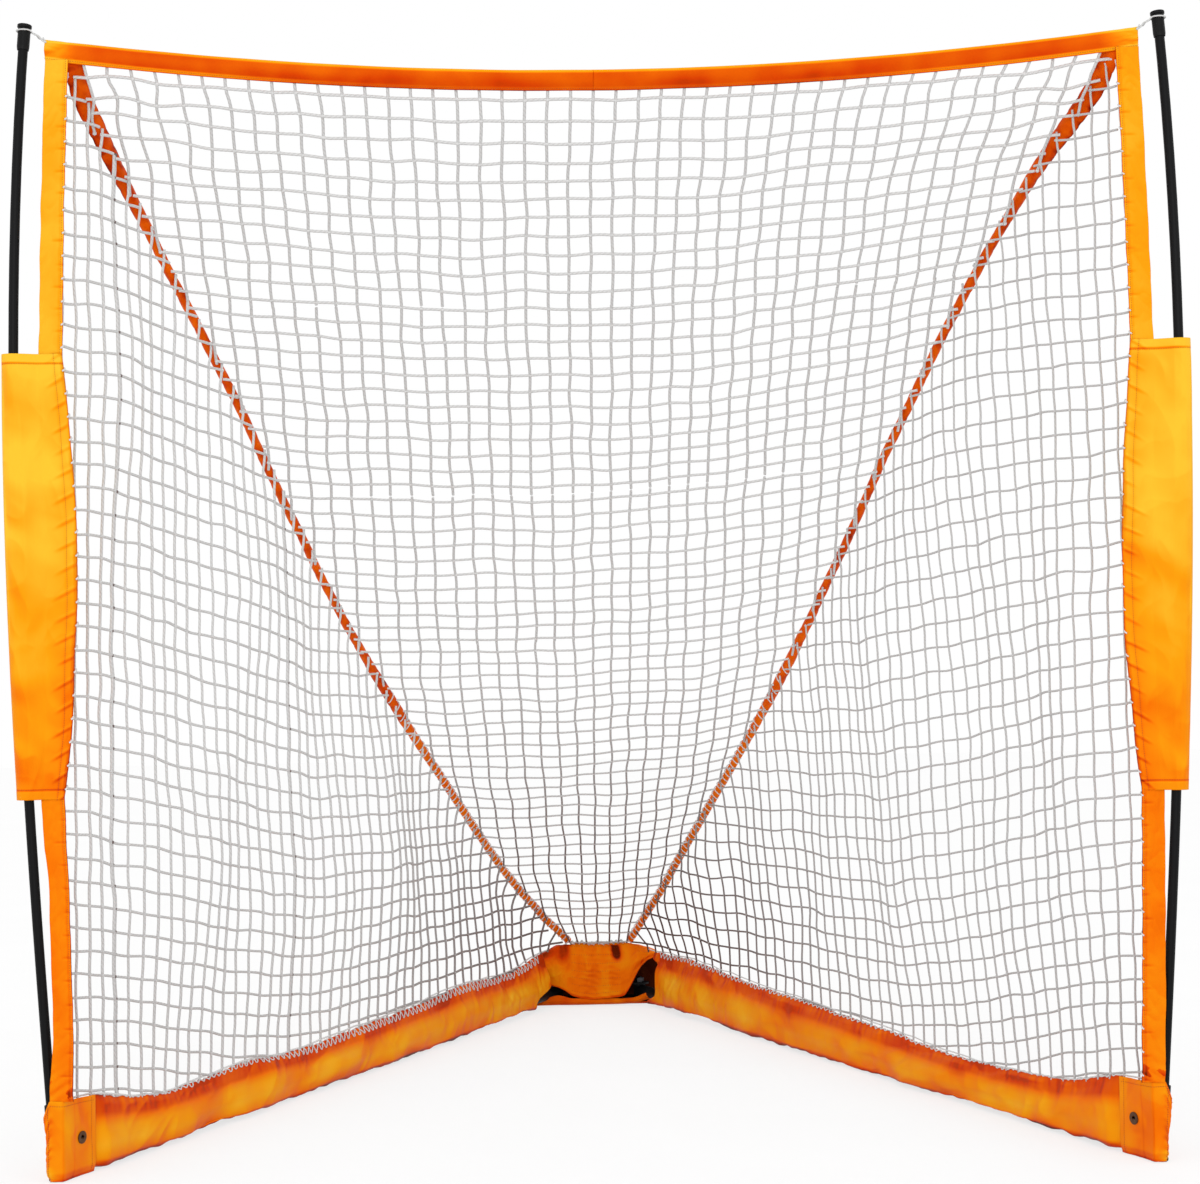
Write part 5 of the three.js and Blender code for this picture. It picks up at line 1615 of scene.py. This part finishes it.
class GOAL_OT_pockets(bpy.types.Operator):
    """Make the corner pockets over the feet of the poles"""

    bl_idname = "goal.pockets"
    bl_label = "Corner pockets"

    def execute(self, context):
        cloth = context.scene.goal_cloth
        for side in SIDES:
            self.pocket(side, cloth)
        return {"FINISHED"}

    def pocket(self, side, cloth):
        seed = cloth.seed + (400 if side == "right" else 440)
        rear = TUBE_REACH - POCKET_LENGTH
        foot = pole_at(0.0)
        outer_edge = 0.0128
        path = [
            on_tube(rear, POCKET_INNER, 0.0),
            on_tube(TUBE_REACH - POCKET_INNER, POCKET_INNER, 0.0),
            on_tube(TUBE_REACH, outer_edge, 0.0),
            np.array([foot[0] + outer_edge, MOUTH_Y - POCKET_FRONT + POCKET_CORNER, 0.0]),
            np.array([foot[0] + POCKET_CORNER, MOUTH_Y - POCKET_FRONT, 0.0]),
            np.array([foot[0] - POCKET_INNER + POCKET_CORNER, MOUTH_Y - POCKET_FRONT, 0.0]),
            on_tube(TUBE_REACH - 2 * POCKET_CORNER, -POCKET_INNER, 0.0),
            on_tube(rear, -POCKET_INNER, 0.0),
        ]
        path = np.array(path)
        run = run_along(path)
        fine = np.linspace(0, run[-1], 110)
        line = read_between(fine, run, path)
        for k in range(2):
            line[:, k] = smoothed(line[:, k], 9)
        inner_top = POCKET_TOP - 0.002
        tops = (POCKET_OUTER_TOP, POCKET_OUTER_TOP, POCKET_OUTER_TOP + 0.01, inner_top, inner_top - 0.006)
        top = np.interp(fine, (0, run[2], run[3], run[4], run[-1]), tops)
        high = np.linspace(0, 1, 64)[None, :]
        along = fine[:, None]
        lean = (pole_at(POCKET_OUTER_TOP) - foot) * np.interp(fine, (0, run[3], run[4]), (1, 1, 0))[:, None]
        z = high * (top[:, None] - 0.0015) + 0.0015
        grid = np.repeat(line[:, None], 64, axis=1) + high[..., None] * lean[:, None]
        grid[..., 2] = z
        normals = grid_normals(grid)
        middle = on_tube(TUBE_REACH - 0.03, 0.0, 0.05)
        facing = np.sign(((grid - middle) * normals).sum())
        calm = np.clip(np.minimum(fine, fine[-1] - fine) / 0.02, 0, 1)[:, None]
        folds = gradient_noise(along / 0.05 + 0.8 * high, high * 1.3, seed)
        rumple = creases(along / 0.07 + 0.5 * high, high * 1.1, seed + 1, 2)
        pucker = gradient_noise(high * 15.0, 0.4, seed + 2) * np.exp(-((along - run[3] - 0.004) ** 2) / 0.00008)
        out = (0.0030 * folds + 0.0020 * rumple) * calm + 0.0014 * pucker
        eye = on_tube(TUBE_REACH - EYELET_SETBACK, -POCKET_INNER, EYELET_HEIGHT)
        away = np.linalg.norm(grid - eye, axis=-1)
        out = out * smooth((away - 0.010) / 0.02)
        plain = grid
        grid = grid + (facing * out)[..., None] * normals
        tuck = 0.004 * smooth((0.12 - high) / 0.12)
        grid = grid - (facing * tuck)[..., None] * normals
        # Painted light: a highlight at the tip, panels facing different ways in lighter or darker tones, painted shade
        # along the seams and the foot, and the folds lit by their turn
        tip = np.exp(-((fine - (run[3] + run[4]) / 2) ** 2) / 0.0004)[:, None] * smooth((0.20 - high) / 0.16)
        panel = np.interp(
            fine, (run[2], run[3], run[4], run[5], run[6], run[7]), (0.42, 0.50, 0.58, 0.56, 0.52, 0.58)
        )[:, None]
        seams = 0.5 * bell(fine - run[5], 0.0016) + 0.5 * bell(fine - run[6] - 0.004, 0.0022)
        foot_line = smooth((0.05 - high) / 0.04)
        tone = panel + 0.40 * tip - 0.16 * seams[:, None] - 0.30 * foot_line + 0.14 * folds + 0.18 * pucker
        tone = tone + relief_tone(plain, grid, facing, 0.8) * smooth((away - 0.008) / 0.02)
        fold = np.clip(tone, 0.04, 1)
        grid = self.opened(grid, eye, EYELET_HOLE)
        piece = self.with_hole(f"{side}_pocket_cloth", grid, side, cloth, fold)
        carry(piece, f"{side}_arm", f"{side}_corner_pocket")
        normals = grid_normals(grid) * facing
        shown = grid + (cloth.thickness / 2 + 0.0003) * normals
        column = int(np.argmin(np.abs(fine - run[3]))) + 3
        lines = [mirrored(shown[column], side), mirrored(shown[4:-4, -5], side), mirrored(shown[-7, 2:-2], side)]
        seam = stitches(f"{side}_pocket_stitches", lines, thread_orange())
        carry(seam, f"{side}_arm")

    def opened(self, grid, eye, ring):
        """The grid with its nearest points moved onto the rim of the eyelet's hole."""
        away = grid - eye
        size = np.linalg.norm(away, axis=-1, keepdims=True)
        close = (size < ring * 1.25) & (size > ring * 0.75)
        return np.where(close, eye + away / np.maximum(size, 1e-9) * ring, grid)

    def with_hole(self, name, grid, side, cloth, fold):
        """A shell of the grid without the cells inside the eyelet's hole."""
        piece = shell(name, mirrored(grid, side), cloth.thickness, orange(), fold)
        mesh = piece.data
        centre = Vector(mirrored(on_tube(TUBE_REACH - EYELET_SETBACK, -POCKET_INNER, EYELET_HEIGHT), side))
        edit = bmesh.new()
        edit.from_mesh(mesh)
        inside = [f for f in edit.faces if (f.calc_center_median() - centre).length < 0.0055]
        bmesh.ops.delete(edit, geom=inside, context="FACES")
        open_edges = [e for e in edit.edges if len(e.link_faces) == 1]
        if open_edges:
            bmesh.ops.bridge_loops(edit, edges=open_edges)
        edit.to_mesh(mesh)
        edit.free()
        mesh.shade_smooth()
        return piece


# The hub cover's upper and lower edges in front, at places across
COVER_EDGE = {
    "x": (
        -0.145, -0.120, -0.100, -0.082, -0.069, -0.045, -0.015, 0.020, 0.052, 0.066, 0.076, 0.086, 0.097, 0.108, 0.126,
        0.145,
    ),
    "top": (
        0.131, 0.141, 0.147, 0.150, 0.150, 0.149, 0.149, 0.149, 0.149, 0.149, 0.149, 0.149, 0.148, 0.146, 0.140, 0.132
    ),
    "foot": (
        0.056, 0.050, 0.045, 0.036, 0.026, 0.019, 0.016, 0.018, 0.021, 0.025, 0.039, 0.056, 0.077, 0.095, 0.111, 0.119
    ),
}


class GOAL_OT_hub_cover(bpy.types.Operator):
    """Drape the cover over the hub"""

    bl_idname = "goal.hub_cover"
    bl_label = "Hub cover"

    def execute(self, context):
        cloth, net = context.scene.goal_cloth, context.scene.goal_net
        seed = cloth.seed + 500
        x = np.linspace(COVER_EDGE["x"][0], COVER_EDGE["x"][-1], 230)
        top = np.interp(x, COVER_EDGE["x"], COVER_EDGE["top"])
        foot = np.interp(x, COVER_EDGE["x"], COVER_EDGE["foot"])
        wing = smooth((np.abs(x) - COVER_TOP_HALF * 0.75) / (COVER_HALF - COVER_TOP_HALF * 0.75))
        rear_foot = mix(0.004, 0.010, wing)
        front = HUB_Y - mix(0.074, 0.056, wing)
        ridge = HUB_Y - NET_HUB_SETBACK - 0.012 * wing
        rear = HUB_Y + 0.038 + 0 * x
        bulge = 0.0095
        ys = [
            front, mix(front, ridge, 0.5) - bulge, ridge - bulge, ridge, ridge + bulge, mix(ridge, rear, 0.5) + bulge,
            rear,
        ]
        zs = [
            foot, mix(foot, top, 0.55), mix(foot, top, 0.96), top, mix(rear_foot, top, 0.96), mix(rear_foot, top, 0.8),
            rear_foot,
        ]
        knots = np.array([0, 0.28, 0.46, 0.52, 0.58, 0.78, 1.0])
        places = np.linspace(0, 1, 150)
        y = np.array([np.interp(places, knots, [row[i] for row in ys]) for i in range(len(x))])
        z = np.array([np.interp(places, knots, [row[i] for row in zs]) for i in range(len(x))])
        behind = 1 + 0.15 * smooth((places - 0.60) / 0.2)
        grid = stack(x[:, None] * behind, y, z)
        kernel = np.hanning(11) / np.hanning(11).sum()
        for axis in (0, 1):
            padded = np.pad(
                grid, [(5, 5) if axis == 0 else (0, 0), (5, 5) if axis == 1 else (0, 0), (0, 0)], mode="reflect",
                reflect_type="odd",
            )
            grid = np.apply_along_axis(lambda row: np.convolve(row, kernel, mode="valid"), axis, padded)
        facing = outward_sign(grid, np.array([0.0, HUB_Y, 0.05]))
        x, places = x[:, None], places[None, :]
        swing = x + 0.25 * (0.5 - places) * (x + 0.03)
        folds = (
            gradient_noise(swing / 0.045, places * 2.2, seed)
            + 0.6 * gradient_noise(swing / 0.022, places * 2.0, seed + 3)
        )
        rumple = creases(swing / 0.06, places * 3.2, seed + 1, 3)
        valley = (
            bell(x - 0.044 - 0.05 * (0.46 - places), 0.0105) * smooth((places - 0.31) / 0.09)
            * smooth((0.535 - places) / 0.04)
        )
        crosswise = (
            np.sin(2 * math.pi * (z + 0.12 * x) / 0.0135 + 3.2 * gradient_noise(x / 0.028, places * 4, seed + 4))
            * (0.6 + 0.6 * gradient_noise(x / 0.02, places * 7, seed + 5))
        )
        ribs = crosswise * smooth((0.50 - places) / 0.1) * smooth((0.062 - np.abs(x)) / 0.03)
        out = 0.0034 * folds + 0.0032 * rumple + 0.0004 * ribs - 0.0085 * valley
        plain = grid
        grid = grid + (facing * out)[..., None] * grid_normals(grid)
        grid[..., 1] = np.maximum(grid[..., 1], HUB_Y - 0.0805)
        grid[..., 2] = np.maximum(grid[..., 2], 0.002)
        # Painted shade: the notch, the left wing, the right end and the foot are darkened as if in shadow, the folds
        # are lit by their turn, and the inside is painted as shadow
        tone = 0.49 + 0.08 * folds + 0.12 * rumple - 0.05 * ribs - 0.7 * valley
        tone = (
            tone - 0.36 * smooth((-0.064 - x) / 0.02) * smooth((places - 0.22) / 0.2)
            - 0.08 * smooth((x - 0.070) / 0.02)
        )
        tone = tone + relief_tone(plain, grid, facing, 0.6) - 0.25 * smooth((0.03 - places) / 0.02)
        piece = shell("hub_cover_cloth", grid, cloth.thickness, orange(), np.clip(tone, 0.06, 1), inner=(facing, -0.12))
        carry(piece, "hub", "hub_cover")
        shown = grid + (cloth.thickness / 2 + 0.0002) * facing * grid_normals(grid)
        rows = [shown[62:-72, at] for at in range(8, 70, 10)]
        seam = stitches("hub_cover_stitches", rows, thread_orange(), pitch=0.006, length=0.0038, radius=SEAM_THREAD)
        carry(seam, "hub")
        roll = self.ground_fold(cloth, seed)
        self.edge_cord(grid, net)
        return {"FINISHED"}

    def ground_fold(self, cloth, seed):
        """The cover's hem: rolled along the ground in front of the hub, and lying flat behind the roll."""
        x = np.linspace(-0.164, 0.150, 190)[:, None]
        angle = np.linspace(0, 1, 45)[None, :-1]
        thin = smooth((0.157 - np.abs(x + 0.007)) / 0.03)
        places = (0, 0.12, 0.28, 0.42, 0.52, 0.62, 0.72, 0.88, 1.0)
        y = np.interp(angle, places, (-0.027, -0.044, -0.060, -0.069, -0.0765, -0.0785, -0.071, -0.050, -0.027))
        z = np.interp(angle, places, (0.0042, 0.0050, 0.0068, 0.0128, 0.0132, 0.0070, 0.0022, 0.0018, 0.0020))
        front = smooth((-0.055 - y) / 0.012)
        sweep = 0.010 * smooth((x - 0.02) / 0.09) + 0.004 * gradient_noise(x / 0.06, 0.2, seed + 13) + 0.003
        y = y + front * np.clip(sweep, 0, 0.014)
        swell = 0.25 + 0.9 * bell(x + 0.108, 0.030) + 0.5 * smooth((x - 0.08) / 0.05)
        z = (
            0.0016
            + (z - 0.0016) * (0.45 + 0.55 * thin) * (
                1 + (swell + 0.22 * gradient_noise(x / 0.035, 0.4, seed + 11)) * front
            )
        )
        z = z + 0.011 * smooth((x - 0.085) / 0.05) * front
        grid = stack(x, HUB_Y + y, z)
        facing = outward_sign(grid, np.array([0.0, HUB_Y - 0.066, 0.006]), True)
        # Painted shade: the roll is lighter on its front, darker behind and at its left end, and its inside is painted
        # as shadow
        tone = (
            0.12 + 0.26 * front + 0.12 * gradient_noise(x / 0.03, angle * 2, seed + 14)
            - 0.10 * smooth((-0.07 - x) / 0.02)
        )
        piece = shell(
            "hub_cover_hem", grid, cloth.thickness, orange(), np.clip(tone, 0.05, 1), wrapped=True, inner=(facing, 0.0)
        )
        carry(piece, "hub")
        return piece

    def edge_cord(self, grid, net):
        """The net's lower edge, whipped to the cover's ridge."""
        ridge = grid[60:-60, 70:90]
        top = ridge[np.arange(len(ridge)), ridge[..., 2].argmax(axis=1)]
        lift = stack(0.0, -0.002, 0.003 + 0.001 * gradient_noise(top[:, 0] / 0.01, 0.3, 31))
        turns = np.linspace(0, 2 * math.pi * 11, 140)
        at = np.linspace(0, len(top) - 1, 140)
        centre = read_between(at, np.arange(len(top)), top + lift)
        coil = centre + stack(0.0, 0.0045 * np.cos(turns), 0.0045 * np.sin(turns))
        # Painted shade: the cord and its coil are darkened a little near the hub
        piece = strands(
            "hub_cover_lacing", [top + lift, coil], net_white(), net.strand * 0.7,
            shades=[np.full(len(top), 0.12), np.full(len(turns), 0.2)],
        )
        carry(piece, "hub")


class GOAL_OT_corner_cords(bpy.types.Operator):
    """Tie the net's upper corners to the caps"""

    bl_idname = "goal.corner_cords"
    bl_label = "Corner cords"

    def execute(self, context):
        cord = material("white_cord", net_material, (0.64, 0.64, 0.63), (0.5, 0.5, 0.5))
        for side in SIDES:
            centre = pole_at(GOAL_HEIGHT - CORD_DROP)
            radius = CAP_RADIUS + 0.0024
            knot = np.array([TOP_BAND_HALF - 0.0012, MOUTH_Y - 0.004, TOP_BAND_FOOT + TOP_BAND_WIDTH - 0.004])
            angle = np.linspace(math.pi - 0.6, -math.pi + 0.6, 30)
            loop = stack(centre[0] + radius * np.cos(angle), centre[1] + radius * np.sin(angle), centre[2])
            share = np.linspace(0, 1, 18)[:, None]
            turn = 11 * share[:, 0]
            twist = stack(0.0, 0.0016 * np.cos(turn), 0.0016 * np.sin(turn)) * np.sin(math.pi * share) ** 0.5
            line = np.concatenate(
                [(mix(knot, loop[0], share) + twist)[:-1], loop, (mix(loop[-1], knot, share) - twist[::-1])[1:]]
            )
            line = mirrored(line, side)
            fall = np.linspace(0, 1, 8)
            tail = knot + stack(0.003 * fall, -0.003 * fall, 0.001 + 0.006 * fall)
            knots = strands(
                f"{side}_corner_knot", [mirrored(tail, side)], cord, 0.0010, mirrored(knot[None, :], side), 0.0026
            )
            piece = strands(f"{side}_corner_tie", [line], cord, CORD_RADIUS)
            carry(piece, f"{side}_arm", f"{side}_corner_cord")
            carry(knots, f"{side}_arm")
        return {"FINISHED"}


# The floor, the lights and the camera, in metres, with the sensor in millimetres
FLOOR_HALF = 14.0
KEY_PLACE, KEY_SIZE = (-0.5, -8.5, 2.4), 3.0
SIDE_LIGHT_PLACE, SIDE_LIGHT_SIZE = (6.0, -7.5, 2.8), 4.0
LIGHT_AIM = (0.0, 0.0, 0.8)
SENSOR_WIDTH = 36.0
VIEW_END = 100.0


class GOAL_OT_stage(bpy.types.Operator):
    """Set up the floor, the lights and the camera"""

    bl_idname = "goal.stage"
    bl_label = "Stage"

    def execute(self, context):
        look = context.scene.goal_stage
        scene = context.scene
        corners = [(x * FLOOR_HALF, y * FLOOR_HALF, 0) for x, y in ((-1, -1), (1, -1), (1, 1), (-1, 1))]
        floor = mesh_object("floor", corners, [(0, 1, 2, 3)])
        floor.data.materials.append(material("floor", plain_material, tuple(look.floor)))

        world = bpy.data.worlds.new("studio")
        world.use_nodes = True
        scene.world = world
        nodes = Nodes(world.node_tree)
        sky, white = (
            nodes.node("ShaderNodeBackground", {"Color": WHITE, "Strength": strength}).outputs[0]
            for strength in (look.sky, 1.0)
        )
        both = nodes.node("ShaderNodeMixShader", {0: seen_background(nodes, 1.0), 1: sky, 2: white})
        nodes.feed(nodes.tree.nodes["World Output"].inputs["Surface"], both.outputs[0])

        self.light("key", look.key, KEY_PLACE, KEY_SIZE)
        for side in SIDES:
            self.light(f"{side}_light", look.sides, mirrored(SIDE_LIGHT_PLACE, side), SIDE_LIGHT_SIZE)

        camera = bpy.data.objects.new("camera", bpy.data.cameras.new("camera"))
        scene.collection.objects.link(camera)
        camera.data.lens = look.lens
        camera.data.sensor_width = SENSOR_WIDTH
        camera.data.clip_end = VIEW_END
        turn = (
            Matrix.Rotation(look.yaw, 4, "Z") @ Matrix.Rotation(math.pi / 2 + look.pitch, 4, "X")
            @ Matrix.Rotation(-look.roll, 4, "Z")
        )
        camera.matrix_world = Matrix.Translation(look.place) @ turn
        scene.camera = camera
        scene.view_settings.view_transform = "Standard"
        return {"FINISHED"}

    def light(self, name, power, place, size):
        data = bpy.data.lights.new(name, "AREA")
        data.energy, data.shape, data.size = power, "DISK", size
        made = bpy.data.objects.new(name, data)
        bpy.context.scene.collection.objects.link(made)
        made.location = place
        made.rotation_euler = (Vector(LIGHT_AIM) - Vector(place)).to_track_quat("-Z", "Y").to_euler()


STEPS = (
    GOAL_OT_stage,
    GOAL_OT_corner_cords,
    GOAL_OT_frame_finishes,
    GOAL_OT_side_nets,
    GOAL_OT_back_net,
    GOAL_OT_straps,
    GOAL_OT_bands,
    GOAL_OT_sleeves,
    GOAL_OT_skirts,
    GOAL_OT_pockets,
    GOAL_OT_hub_cover,
)


class GOAL_PT_panel(bpy.types.Panel):
    """The goal's settings and steps"""

    bl_idname = "GOAL_PT_panel"
    bl_label = "Lacrosse goal"
    bl_space_type = "VIEW_3D"
    bl_region_type = "UI"
    bl_category = "Goal"

    def draw(self, context):
        for name in SETTINGS:
            box = self.layout.box()
            group = getattr(context.scene, name)
            for key in group.bl_rna.properties.keys():
                if key not in {"rna_type", "name"}:
                    box.prop(group, key)
        for step in STEPS:
            self.layout.operator(step.bl_idname)


SETTINGS = {
    "goal_net": GoalNetSettings,
    "goal_cloth": GoalClothSettings,
    "goal_frame": GoalFrameSettings,
    "goal_stage": GoalStageSettings,
}


def register():
    for kind in (*SETTINGS.values(), *STEPS, GOAL_PT_panel):
        bpy.utils.register_class(kind)
    for name, kind in SETTINGS.items():
        setattr(bpy.types.Scene, name, bpy.props.PointerProperty(type=kind))


def unregister():
    for name in SETTINGS:
        delattr(bpy.types.Scene, name)
    for kind in reversed((*SETTINGS.values(), *STEPS, GOAL_PT_panel)):
        bpy.utils.unregister_class(kind)


def main():
    register()
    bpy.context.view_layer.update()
    for step in STEPS:
        space, name = step.bl_idname.split(".")
        getattr(getattr(bpy.ops, space), name)()


if __name__ == "__main__":
    main()
